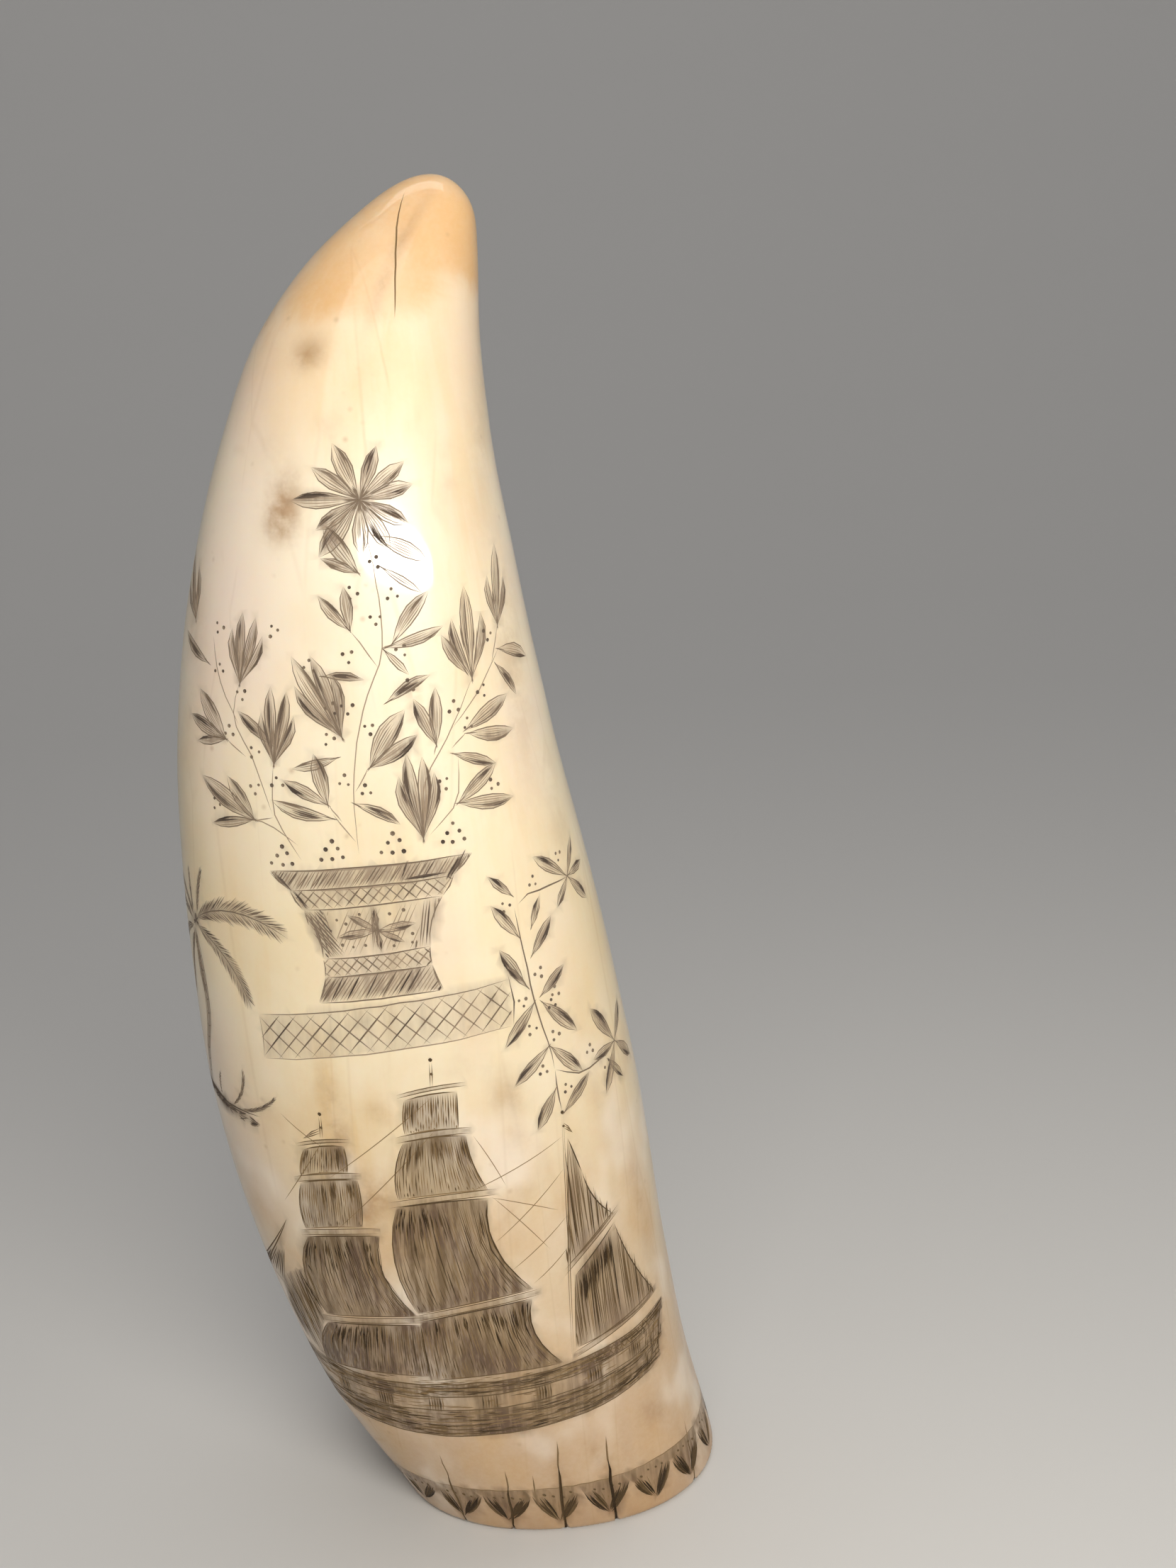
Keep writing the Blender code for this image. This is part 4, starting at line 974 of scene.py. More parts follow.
def drawBorder():
    ringHeight = borderRing["height"]
    edges = borderEdges(ringHeight)
    # a stained band that pointed leaves hang from
    run = np.linspace(edges[0], edges[-1], 90)
    tintStrip([(x, ringHeight + 0.15) for x in run], [(x, ringHeight - 0.9) for x in run], 0.74)
    for _ in range(24):     # rubbed in unevenly
        x = vary(edges[0], edges[-1])
        wash([(x, ringHeight - 0.5), (x + vary(1, 3), ringHeight - vary(0.4, 1.4))], 0.7, 0.5)
    for k in range(0, len(edges) - 1, 2):
        start, stop = edges[k], edges[min(k + 2, len(edges) - 1)]
        cut([(start + (stop - start) * j / 12, ringHeight + 0.1 + vary(-0.08, 0.08))
             for j in range(13)], 0.15, 0.45)
    for start, stop in zip(edges, edges[1:]):
        x = (start + stop) / 2
        point = jitter((x, borderRing["point"]), 0.3)
        corners = ((start, ringHeight - 0.8), (stop, ringHeight - 0.8))
        sides = [bowed(corner, point, -0.5 * side) for corner, side in zip(corners, (1, -1))]
        tint(sides[0] + sides[1][-2::-1], vary(0.68, 0.84))
        for corner, side in zip(corners, (1, -1)):      # heavy toward the point
            inner = (corner[0] + vary(1.3, 1.8) * side, corner[1])
            tintStrip(bowed(corner, point, -0.5 * side, 0.05, 1.0, 6),
                      bowed(inner, point, -0.3 * side, 0.1, 1.0, 6), vary(0.84, 1.0))
            for j in range(6):
                root = (corner[0] + 0.24 * j * side, corner[1])
                cut(bowed(jitter(root, 0.08), jitter(point, 0.15), side * (0.12 * j - 0.48),
                          vary(0.02, 0.3), vary(0.85, 1), 5),
                    vary(0.22, 0.36), vary(0.55, 0.9))
        for j in range(3):
            top = between(corners[0], corners[1], (j + 2) / 6)
            cut(bowed(top, point, 0, vary(0.1, 0.4), vary(0.5, 0.75), 3),
                vary(0.12, 0.16), vary(0.3, 0.45))
        for dx in (-1.6, -0.5, 0.7, 1.7):
            dot(x + dx, ringHeight - vary(0.8, 1.5), vary(0.16, 0.24), 0.6)


crackLines = (      # x at the rim, lean, how far up a drying crack reaches, width, tone
    (4.6, -1.9, 12.6, 0.32, 0.6), (11.2, -0.4, 10.4, 0.34, 0.74), (17.7, -0.2, 14.2, 0.38, 0.78),
    (24.2, -0.4, 13.2, 0.42, 0.9), (36.8, 0, 9, 0.24, 0.6), (-9.4, 0.4, 8.5, 0.24, 0.6),
    (-22, 0, 6, 0.16, 0.6), (58, 0.3, 12, 0.24, 0.75), (70, 0, 8, 0.18, 0.6),
    (-34, -0.3, 13, 0.24, 0.75), (-46, 0, 9, 0.18, 0.6),
)


def drawCracks():
    for x, lean, top, width, tone in crackLines:
        points = [(x + lean * k / 8 + (vary(-0.12, 0.12) if k else 0), top * k / 8)
                  for k in range(9)]
        cut(points[:7], width, tone, blunt=True)
        cut(points[5:], 0.6 * width, 0.45)
        wash([points[1], points[3], points[4]], 0.7, 0.5 * tone)
    cut([(14.3, 5.8), (14.25, 7.8), (14.2, 9.4)], 0.2, 0.45)
    tipCrack = curve(((11.3, 162.6), (10.5, 159.8), (10, 154.7), (9.5, 148.6)), 1.4)
    cut([jitter(p, 0.04) for p in tipCrack], 0.19, 0.42)


for drawMotif, inkNow in ((drawBouquet, "grey"), (drawUrn, "grey"), (drawPlinth, "grey"),
                          (drawPalm, "grey"), (drawSpray, "grey"), (drawShip, "brown"),
                          (drawBorder, "brown"), (drawCracks, "brown")):
    before = len(strokes)
    drawMotif()
    print("%s: %d strokes" % (drawMotif.__name__, len(strokes) - before))


# carved skin
def cellAt(climb):
    return whaleTooth["cell"] * min(1.0, 0.25 + (topClimb - climb) / whaleTooth["tipReach"])


def surfaceRows():
    rim = whaleTooth["rimRadius"]
    rows = [0.0, 0.04 * rim, 0.15 * rim, 0.36 * rim, 0.65 * rim, rim]
    while rows[-1] < topClimb - 0.8 * cellAt(rows[-1]):
        rows.append(rows[-1] + 0.87 * cellAt(rows[-1]))
    return rows[:-1]


def plainPoints(rows):
    points = []
    for k, climb in enumerate(rows):
        girth = halfGirthAt(climb)
        count = max(16, round(2 * girth / cellAt(climb)))
        rim = climb < whaleTooth["rimRadius"] + 0.01
        if rim:     # the rounded rim's rows line up, twice as close
            count = 2 * round(2 * halfGirthAt(0.0) / whaleTooth["cell"])
        offset = 0.5 if k % 2 and not rim else 0.0
        for j in range(1 if offset == 0 else 0, count):
            points.append((girth * (-1 + 2 * (j + offset) / count), climb))
    return points


def grooveShape(stroke):
    # closed outline of a stroke, and the run of its bottom line
    path, halves = stroke[0], stroke[1]
    if isinstance(path, Vector):
        return halves, [path]
    left, right = [], []
    for k, (point, half) in enumerate(zip(path, halves)):
        if half == 0.0:
            continue
        ahead = (path[min(k + 1, len(path) - 1)] - path[max(k - 1, 0)]).normalized()
        side = Vector((-ahead.y, ahead.x)) * half
        if point.y < 1e-6:
            side.y = 0.0
        left.append(point + side)
        right.append(point - side)
    start = [path[0]] if halves[0] == 0.0 else []
    bottom = path if 2 * max(halves) > whaleTooth["hairline"] else []
    return start + right + [path[-1]] + left[::-1], bottom


def depthIn(point, stroke):
    path, halves, depth = stroke[:3]
    if isinstance(path, Vector):
        return depth * max(0.0, 1 - (point - path).length / (halves[0] - path).length)
    best, widest = 0.0, max(halves)
    for a, b, halfA, halfB in zip(path, path[1:], halves, halves[1:]):
        run = b - a
        s = min(max((point - a).dot(run) / max(run.length_squared, 1e-12), 0.0), 1.0)
        half = halfA + s * (halfB - halfA)
        away = (point - (a + run * s)).length
        if half > 0.0 and away < half:
            best = max(best, depth * (1 - away / half) * min(1.0, half / widest * 1.3))
    return best


def tintDensity(points):
    # how much of the outlined stains lies at each point of the plane
    clear = np.ones(len(points))
    for outline, amount in tints:
        low, high = outline.min(axis=0) - 0.1, outline.max(axis=0) + 0.1
        near = np.flatnonzero(np.all((points > low) & (points < high), axis=1))
        spots = points[near]
        inside, away = np.zeros(len(near), bool), np.full(len(near), 9.0)
        for a, b in zip(outline, np.roll(outline, -1, axis=0)):
            run = b - a
            s = np.clip(((spots - a) @ run) / max(run @ run, 1e-9), 0, 1)
            away = np.minimum(away, np.linalg.norm(spots - a - s[:, None] * run, axis=1))
            crosses = (a[1] > spots[:, 1]) != (b[1] > spots[:, 1])
            rise = run[1] if abs(run[1]) > 1e-9 else 1e-9
            inside ^= crosses & (spots[:, 0] < a[0] + (spots[:, 1] - a[1]) / rise * run[0])
        within = np.clip((np.where(inside, away, -away) + 0.03) / 0.12, 0, 1)
        clear[near] *= 1 - amount * within
    return 1 - clear


hazeRaster = {"pitch": 0.25, "left": 90.0, "below": 10.0, "near": 0.3, "far": 0.8}


def inkDensity(points):
    # how much ink lies near each point of the plane, from blurred strokes and washes
    pitch, left, below = (hazeRaster[k] for k in ("pitch", "left", "below"))
    wide, tall = int(2 * left / pitch), int((topClimb + 2 * below) / pitch)
    ink, thin = np.zeros((tall, wide)), np.zeros((tall, wide))
    for path, halves, _, tone, _ in strokes:
        if isinstance(path, Vector):
            spots = [(path, tone * 3.0 * (halves[0] - path).length_squared)]
        else:
            spots = []
            for a, b, halfA, halfB in zip(path, path[1:], halves, halves[1:]):
                length = (b - a).length
                count = max(1, int(length / pitch) + 1)
                spots += [(a.lerp(b, (k + 0.5) / count), tone * length / count * (halfA + halfB))
                          for k in range(count)]
        for spot, area in spots:
            row, column = int((spot.y + below) / pitch), int((spot.x + left) / pitch)
            if 0 <= row < tall and 0 <= column < wide:
                ink[row, column] += area / pitch ** 2
    near, far = (soften(ink, hazeRaster[k] / pitch) for k in ("near", "far"))
    rowsAt = (np.arange(tall) + 0.5) * pitch - below
    columnsAt = (np.arange(wide) + 0.5) * pitch - left
    for path, radius, amount in washes:
        for a, b in zip(path, path[1:] or path):
            count = max(1, int((b - a).length / (0.6 * radius)))
            for k in range(count):
                spot = a.lerp(b, k / count)
                rows = np.flatnonzero(np.abs(rowsAt - spot.y) < 2.2 * radius)
                columns = np.flatnonzero(np.abs(columnsAt - spot.x) < 2.2 * radius)
                patch = amount * np.exp(-(((rowsAt[rows] - spot.y) / radius) ** 2)[:, None]
                                        - ((columnsAt[columns] - spot.x) / radius) ** 2)
                place = np.ix_(rows, columns)
                thin[place] = thin[place] + patch * (1 - thin[place])
    # faint halos of single strokes are left out, so that stain keeps to the shaded shapes
    soft = 1 - np.exp(-1.5 * np.maximum(near - 0.12, 0))
    # a wash shows where strokes are near it, and fades out past them
    soft = soft + thin * np.clip(0.1 + 2.5 * far, 0, 1) * (1 - soft)
    rows = np.clip((points[:, 1] + below) / pitch - 0.5, 0, tall - 2)
    columns = np.clip((points[:, 0] + left) / pitch - 0.5, 0, wide - 2)
    r, c = rows.astype(int), columns.astype(int)
    fr, fc = rows - r, columns - c
    blurred = ((1 - fr) * (1 - fc) * soft[r, c] + (1 - fr) * fc * soft[r, c + 1]
               + fr * (1 - fc) * soft[r + 1, c] + fr * fc * soft[r + 1, c + 1])
    return 1 - (1 - blurred) * (1 - tintDensity(points))


def soften(values, sigma):
    reach = int(3 * sigma) + 1
    kernel = np.exp(-0.5 * (np.arange(-reach, reach + 1) / sigma) ** 2)
    kernel /= kernel.sum()
    for axis in (0, 1):
        values = np.apply_along_axis(lambda line: np.convolve(line, kernel, "same"), axis, values)
    return values


def carveSkin():
    rows = surfaceRows()
    right = [Vector((halfGirthAt(climb), climb)) for climb in rows]
    left = [Vector((-point.x, point.y)) for point in right]
    tip = Vector((0.0, topClimb))
    plain = plainPoints(rows)
    foot = [Vector(point) for point in plain if point[1] == 0.0]
    plane = foot + right + [tip] + left[::-1]
    shapes, runs = [list(range(len(plane)))], []
    plane += [Vector(point) for point in plain if point[1] > 0.0]
    for stroke in strokes:
        outline, bottom = grooveShape(stroke)
        shapes.append(list(range(len(plane), len(plane) + len(outline))))
        plane += outline
        runs += [(len(plane) + k, len(plane) + k + 1) for k in range(len(bottom) - 1)]
        plane += bottom
    flat, _, faces, _, _, sources = delaunay_2d_cdt(plane, runs, shapes, 1,
                                                    whaleTooth["finestJoin"], True)
    print("skin: %d points, %d faces" % (len(flat), len(faces)))
    claims = np.bincount([k for origin in sources for k in origin], minlength=len(strokes) + 1)
    # an outline that the triangulation leaves open would claim the whole skin
    most = whaleTooth["leakShare"] * len(faces)
    leaking = {k for k, count in enumerate(claims) if k > 0 and count > most}
    touching = [set() for _ in flat]
    kept, tones = [], []
    for face, origin in zip(faces, sources):
        marks = [k - 1 for k in origin if k > 0 and k not in leaking]
        for corner in face:
            touching[corner].update(marks)
        if 0 in origin:
            kept.append(face)
            deepest = max(marks, key=lambda k: strokes[k][3], default=None)
            tones.append(None if deepest is None else strokes[deepest][3:])
    depths = np.array([max([depthIn(point, strokes[k]) for k in near], default=0.0)
                       for point, near in zip(flat, touching)])
    flatPoints = np.array([tuple(point) for point in flat])
    normals = outward(flatPoints[:, 0], flatPoints[:, 1])
    inner = normals.copy()
    inner[flatPoints[:, 1] < whaleTooth["rimRadius"], 2] = 0.0
    skin = wrap(flatPoints[:, 0], flatPoints[:, 1]) - inner * depths[:, None]
    edges = {(round(p.x, 3), round(p.y, 3)) for p in right + left + [tip]}
    seam = [k for k, p in enumerate(flat) if (round(p.x, 3), round(p.y, 3)) in edges]
    return skin, normals, flatPoints, kept, tones, seam


print("stage: drawing done, %d strokes" % len(strokes))
skin, skinNormals, skinPlane, skinFaces, skinTones, seamPoints = carveSkin()


# mesh of the whole tooth
def weldSeam(places, plane, faces, seam):
    # the flattened skin's two long edges meet at the back
    left = sorted((k for k in seam if plane[k][0] <= 0), key=lambda k: plane[k][1])
    right = sorted((k for k in seam if plane[k][0] > 0), key=lambda k: plane[k][1])
    climbs = np.array([plane[k][1] for k in right])
    partner = np.arange(len(places))
    for k in left:
        nearest = right[int(np.abs(climbs - plane[k][1]).argmin())]
        if np.linalg.norm(places[k] - places[nearest]) < whaleTooth["weldReach"]:
            partner[k] = nearest
    welded = []
    for face in faces:
        corners = [int(partner[k]) for k in face]
        welded.append(corners if len(set(corners)) == 3 else None)
    return welded


def boundaryLoop(faces, places):
    # the open edge round the foot, in order
    edges = {}
    for face in faces:
        for a, b in zip(face, face[1:] + face[:1]):
            edges[(a, b)] = edges.get((a, b), 0) + 1
    following = {b: a for a, b in edges if (b, a) not in edges and places[a][2] < 0.001}
    start = next(iter(following))
    loop, at = [start], following[start]
    while at != start:
        loop.append(at)
        at = following[at]
    return loop


cavity = form["cavity"]
sawnBase = {
    "rings": 9,             # rows of points between the outer edge and the cavity
    "around": 96,
    "cavityRows": 26,
    "cavityTip": 2.2,
    "mouthBevel": 0.35,
}
baseTurns = [-math.pi + 2 * math.pi * (k + 0.5) / sawnBase["around"]
             for k in range(sawnBase["around"])]


def cavityEllipse(height, grow=0.0):
    # centre and half widths of the pulp cavity at a height
    s = height / cavity["height"]
    closing = math.cos(0.5 * math.pi * min(1.0, max(0.0, (s - 0.93) / 0.07)))
    half = (cavity["half"] * (1 - s) + sawnBase["cavityTip"] * s + grow) * closing
    depth = (cavity["depth"] * (1 - s) + sawnBase["cavityTip"] * s * 0.8 + grow) * closing
    return cavity["middle"] + s * (cavity["topMiddle"] - cavity["middle"]), half, depth


def cavityPoint(turn, height, grow):
    # the wall is gently ridged, but not at its mouth
    middle, half, depth = cavityEllipse(height, grow)
    ridge = (1 + 0.022 * math.sin(7 * turn + 0.09 * height)
             + 0.013 * math.sin(13 * turn + 2 - 0.13 * height))
    ridge = 1 + (ridge - 1) * min(1.0, height / 3)
    return (middle + half * ridge * math.cos(turn), depth * ridge * math.sin(turn), height)


def ringAt(loopPoints, share):
    # points on a ring between the cavity (0) and the outer edge (1)
    points = []
    outer = np.array(loopPoints)
    middle = np.array([cavity["middle"], 0.0])
    angles = np.arctan2(outer[:, 1] - middle[1], outer[:, 0] - middle[0])
    order = np.argsort(angles)
    reach = np.hypot(*(outer - middle).T)[order]
    angles = angles[order]
    for turn in baseTurns:
        far = np.interp(turn, angles, reach, period=2 * math.pi)
        x, z, _ = cavityPoint(turn, 0.0, sawnBase["mouthBevel"])
        near = np.array([x, z])
        edge = middle + far * np.array([math.cos(turn), math.sin(turn)])
        points.append(near + share * (edge - near))
    return points


def buildBase(places, loop):
    # sawn ring, bevelled mouth and the cavity's wall, as points, faces and ring shares
    outer = [tuple(places[k][:2]) for k in loop]
    plane = [Vector(point) for point in outer]
    shares = [1.0] * len(plane)
    around = sawnBase["around"]
    mouthAt = len(plane)
    for k in range(sawnBase["rings"]):      # the first ring is the cavity's mouth
        share = k / sawnBase["rings"]
        plane += [Vector(point) for point in ringAt(outer, share)]
        shares += [share] * around
    outlines = [list(range(mouthAt)), list(range(mouthAt, mouthAt + around))]
    for outline in outlines:      # both have to run anticlockwise
        ring = [plane[k] for k in outline]
        if sum(a.cross(b) for a, b in zip(ring, ring[1:] + ring[:1])) < 0:
            outline.reverse()
    flat, _, faces, originals, _, sources = delaunay_2d_cdt(plane, [], outlines, 0, 1e-5, True)
    faces = [list(face) for face, origin in zip(faces, sources) if 0 in origin and 1 not in origin]
    # the flat ring's points join the skin's by their place in the list
    target, extra, extraShares = {}, [], []
    for k, origin in enumerate(originals):
        first = min(origin) if origin else None
        if first is not None and first < len(loop):
            target[k] = loop[first]
        else:
            target[k] = len(places) + len(extra)
            extra.append((flat[k].x, flat[k].y, 0.0))
            extraShares.append(shares[first] if first is not None else 0.5)
    ringFaces = []
    for face in faces:
        corners = [target[k] for k in face]
        a, b, c = (np.array(places[k] if k < len(places) else extra[k - len(places)])
                   for k in corners)
        if np.cross(b - a, c - a)[2] > 0:
            corners.reverse()
        ringFaces.append(corners)
    lookup = {origin: k for k, group in enumerate(originals) for origin in group}
    wallFaces, last = [], [target[lookup[mouthAt + k]] for k in range(around)]
    heights = [0.12, sawnBase["mouthBevel"]] + [
        cavity["height"] * (0.012 + 0.988 * (k / sawnBase["cavityRows"]))
        for k in range(1, sawnBase["cavityRows"] + 1)]
    for row, height in enumerate(heights[:-1]):
        current = []
        for turn in baseTurns:
            current.append(len(places) + len(extra))
            extra.append(cavityPoint(turn, height, 0.1 if row == 0 else 0.0))
            extraShares.append(-height / cavity["height"])
        for k in range(around):
            n = (k + 1) % around
            wallFaces += [[last[k], current[k], current[n]], [last[k], current[n], last[n]]]
        last = current
    tipMiddle = cavityEllipse(heights[-1])[0]
    apex = len(places) + len(extra)
    extra.append((tipMiddle, 0.0, heights[-1]))
    extraShares.append(-1.0)
    wallFaces += [[last[k], apex, last[(k + 1) % around]] for k in range(around)]
    return extra, extraShares, ringFaces, wallFaces


# a stroke's tone decides which of its family's four inks fills it
inkLevels = (0.48, 0.66, 0.82)
inkFamilies = {"grey": 1, "brown": 5}       # first material slot of each family
sawnSlot = 9


def inkSlot(mark):
    if mark is None:
        return 0
    tone, family = mark
    return inkFamilies[family] + sum(tone <= level for level in inkLevels)


def buildTooth():
    faces = weldSeam(skin, skinPlane, skinFaces, seamPoints)
    kept = [(face, mark) for face, mark in zip(faces, skinTones) if face]
    skinOnly = [face for face, _ in kept]
    loop = boundaryLoop(skinOnly, skin)
    extra, extraShares, ringFaces, wallFaces = buildBase(skin, loop)
    places = np.vstack([skin, np.array(extra)])
    allFaces = skinOnly + ringFaces + wallFaces
    slots = [inkSlot(mark) for _, mark in kept] + [sawnSlot] * (len(ringFaces) + len(wallFaces))
    used = np.zeros(len(places), bool)
    used[np.array(allFaces).ravel()] = True
    renumber = np.cumsum(used) - 1
    mesh = bpy.data.meshes.new("scrimshawTooth")
    corners = renumber[np.array(allFaces)]
    mesh.from_pydata((places[used] * mm).tolist(), [], corners.tolist())
    mesh.polygons.foreach_set("material_index", slots)
    haze = np.concatenate([inkDensity(skinPlane), np.zeros(len(extra))])[used]
    rings = np.concatenate([np.ones(len(skin)), np.array(extraShares)])[used]
    for name, values in (("inkHaze", haze), ("ringShare", rings)):
        mesh.attributes.new(name, "FLOAT", "POINT").data.foreach_set("value", values)
    stains = np.ones((len(places), 4))
    stains[:, :3] = 0
    stains[:len(skin), :3] = stainAt(skin, skinPlane)
    stains = stains[used]
    mesh.attributes.new("stains", "FLOAT_COLOR", "POINT").data.foreach_set("color", stains.ravel())
    mesh.update()
    # polished faces take the true form's normals, cut faces their own
    normals = np.empty(len(mesh.polygons) * 3)
    mesh.polygons.foreach_get("normal", normals)
    cornerNormals = np.repeat(normals.reshape(-1, 3), 3, axis=0)
    vertexNormals = np.zeros((len(places), 3))
    vertexNormals[:len(skin)] = skinNormals
    vertexNormals = vertexNormals[used]
    smooth = np.repeat(np.array(slots) == 0, 3)
    cornerNormals[smooth] = vertexNormals[corners.ravel()[smooth]]
    # the cavity's wall faces its axis, a little downward
    wallCorners = np.repeat(np.arange(len(allFaces)) >= len(allFaces) - len(wallFaces), 3)
    radial = places[used][corners.ravel()[wallCorners]] - np.array([cavity["middle"], 0, -30.0])
    inward = -radial / np.linalg.norm(radial, axis=1, keepdims=True)
    inward[:, 2] = -0.2
    cornerNormals[wallCorners] = inward / np.linalg.norm(inward, axis=1, keepdims=True)
    mesh.polygons.foreach_set("use_smooth", [True] * len(mesh.polygons))
    mesh.normals_split_custom_set(cornerNormals.tolist())
    tooth = bpy.data.objects.new("engraved_whale_tooth", mesh)
    bpy.context.scene.collection.objects.link(tooth)
    print("tooth: %d points, %d faces" % (len(mesh.vertices), len(mesh.polygons)))
    return tooth


# soft patches of age on the face: drawing x, z, half width, half height, strength
agePatches = {
    "brown": ((-4.7, 128.0, 1.9, 2.4, 1.5), (-3.7, 131.6, 1.7, 2.2, 0.6),
              (-0.3, 145.4, 1.9, 1.8, 0.9), (1.4, 137.8, 1.2, 1.2, 0.4),
              (10.1, 155.6, 0.8, 7.5, 0.6), (20.8, 137, 2.4, 14, 0.3), (22.4, 108, 2.4, 14, 0.34),
              (27.5, 92, 2.2, 9, 0.3), (31.2, 13.4, 2.6, 2.2, 0.7), (0.5, 17, 2.4, 1.4, 0.3),
              (11.3, 18.4, 2.0, 1.2, 0.5), (24, 20, 3, 1.2, 0.3), (-5.4, 135.4, 2.4, 2.2, 0.16),
              (14.6, 130.2, 1.2, 1.3, 0.25), (14.9, 134.2, 1.2, 1.2, 0.18),
              (20.5, 112, 3.0, 4.0, 0.2), (-19, 118, 3, 7, 0.35), (-22, 104, 3, 5, 0.2),
              (34.1, 40.8, 1.3, 9, 0.5), (32, 30, 1.2, 7, 0.35), (33.4, 21.2, 2.4, 2.4, 0.55),
              (27.6, 57, 1.2, 9, 0.25), (31, 50, 1.0, 8, 0.3), (-1.0, 50.0, 2.4, 2.8, 1.0),
              (-2.7, 46.6, 1.4, 2.4, 0.8), (-5.0, 59.5, 1.4, 6.5, 0.8), (0.6, 60.5, 1.8, 1.6, 0.4),
              (15.6, 60.4, 2.0, 2.6, 0.6), (16.2, 54.5, 2.0, 2.4, 0.5),
              (16.8, 49.0, 1.8, 2.6, 0.36), (14.3, 45.8, 1.2, 2.4, 0.36),
              (13.4, 52, 1.2, 2.0, 0.3), (11.5, 64.6, 4.0, 1.2, 0.2), (17, 12.4, 1.4, 4, 0.3),
              (26, 11, 1.6, 3, 0.25), (6, 12, 1.6, 3.4, 0.25), (-3, 12, 4, 3, 0.25)),
    "yellow": ((6, 143, 9, 11, 0.55), (17, 126, 5, 18, 0.6), (20, 92, 5, 10, 0.4),
               (2, 109, 10, 6, 0.15), (4, 86, 12, 10, 0.35), (-14, 76, 7, 14, 0.4),
               (30, 70, 6, 12, 0.35), (-3, 56, 5, 9, 0.9), (6, 28, 20, 10, 0.5),
               (30, 48, 5, 14, 0.6), (14, 53, 4, 10, 0.7), (-4.6, 59, 1.5, 8, 1.0),
               (0.6, 60.5, 2.2, 2.2, 0.7), (-1, 49, 2.4, 4, 0.6), (10, 12, 26, 5, 0.5)),
    "rose": ((-12, 122, 6, 12, 0.8), (-18, 104, 4, 14, 0.6), (-10, 112, 5, 7, 0.5),
             (-8, 143, 5, 9, 0.4), (22, 100, 4, 8, 0.6), (24, 76, 4, 9, 0.5),
             (-20, 56, 7, 16, 0.6), (-24, 36, 8, 14, 0.5), (8, 13, 18, 5, 0.8),
             (14, 42, 5, 5, 0.25), (-14, 90, 4, 8, 0.2), (26, 18, 10, 7, 0.7),
             (18.5, 143, 3, 10, 0.5), (-6, 139, 5, 9, 0.45)),
}


def stainAt(places, plane):
    # three soft masks: brown, yellow and rose, with seeded patches for the sides and the back
    scatter = random.Random(whaleTooth["seed"] + 7)
    around = np.maximum(2 * section(places[:, 2])[1] * ovalHalfGirth, 1e-6)
    masks = []
    glows = tuple((x + 0.5 * lean, 0.55 * top, 0.9, 0.5 * top, 0.95 * tone)
                  for x, lean, top, _, tone in crackLines)      # brown round the drying cracks
    for name, tall in (("brown", 5.0), ("yellow", 13.0), ("rose", 13.0)):
        patches = []
        for x, z, wide, high, strength in agePatches[name] + (glows if name == "brown" else ()):
            spot = onPlane(x, z)
            patches.append((spot.x, spot.y, wide, high, strength))
        for _ in range(whaleTooth["scattered"]):
            z = scatter.uniform(12, 150)
            x = scatter.choice((-1, 1)) * scatter.uniform(0.55, 1.0) * halfGirthAt(z)
            patches.append((x, z, scatter.uniform(2, 7), tall * scatter.uniform(0.5, 1.4),
                            scatter.uniform(0.2, 0.55)))
        total = np.zeros(len(places))
        for x, climb, wide, high, strength in patches:
            across = plane[:, 0] - x
            across = across - around * np.round(across / around)
            total += strength * np.exp(-(across / wide) ** 2 - ((plane[:, 1] - climb) / high) ** 2)
        masks.append(np.clip(total, 0, 1))
    return np.stack(masks, axis=1)


# finishes
treeNow = None       # the node tree that the helpers below add to


def newGroup(name, inputs, outputs):
    global treeNow
    treeNow = bpy.data.node_groups.new(name, "ShaderNodeTree")
    for label, kind, value in inputs:
        socket = treeNow.interface.new_socket(label, in_out="INPUT", socket_type=kind)
        if value is not None:
            socket.default_value = value
    for label in outputs:
        treeNow.interface.new_socket(label, in_out="OUTPUT", socket_type="NodeSocketFloat")
    given, out = treeNow.nodes.new("NodeGroupInput"), treeNow.nodes.new("NodeGroupOutput")
    return treeNow, given.outputs, out


def startMaterial(name, colour):
    global treeNow
    material = bpy.data.materials.new(name)
    material.use_nodes = True
    material.diffuse_color = colour
    treeNow = material.node_tree
    treeNow.nodes.clear()
    shader = treeNow.nodes.new("ShaderNodeBsdfPrincipled")
    output = treeNow.nodes.new("ShaderNodeOutputMaterial")
    treeNow.links.new(shader.outputs[0], output.inputs[0])
    return material, shader, treeNow.nodes.new("ShaderNodeTexCoord").outputs["Object"]


def feed(node, inputs):
    # each input, by socket name or index, is a plain value or a socket to link from
    for key, value in inputs.items():
        if isinstance(value, bpy.types.NodeSocket):
            treeNow.links.new(value, node.inputs[key])
        else:
            node.inputs[key].default_value = value


def addNode(kind, inputs, **settings):
    node = treeNow.nodes.new(kind)
    for key, value in settings.items():
        setattr(node, key, value)
    feed(node, inputs)
    return node.outputs


def mix(factor, a, b):
    return addNode("ShaderNodeMix", {0: factor, 6: a, 7: b}, data_type="RGBA")[2]


def maths(operation, a, b=0.0, clamp=False):
    return addNode("ShaderNodeMath", {0: a, 1: b}, operation=operation, use_clamp=clamp)[0]


def times(a, b, clamp=False):
    return maths("MULTIPLY", a, b, clamp)


def ramp(value, low, high, toLow=0.0, toHigh=1.0, kind="SMOOTHSTEP"):
    return addNode("ShaderNodeMapRange", {0: value, 1: low, 2: high, 3: toLow, 4: toHigh},
                   interpolation_type=kind)[0]


def noise(vector, scale, detail=4.0, rough=0.55, distortion=0.0):
    return addNode("ShaderNodeTexNoise", {"Vector": vector, "Scale": scale, "Detail": detail,
                                          "Roughness": rough, "Distortion": distortion})[0]


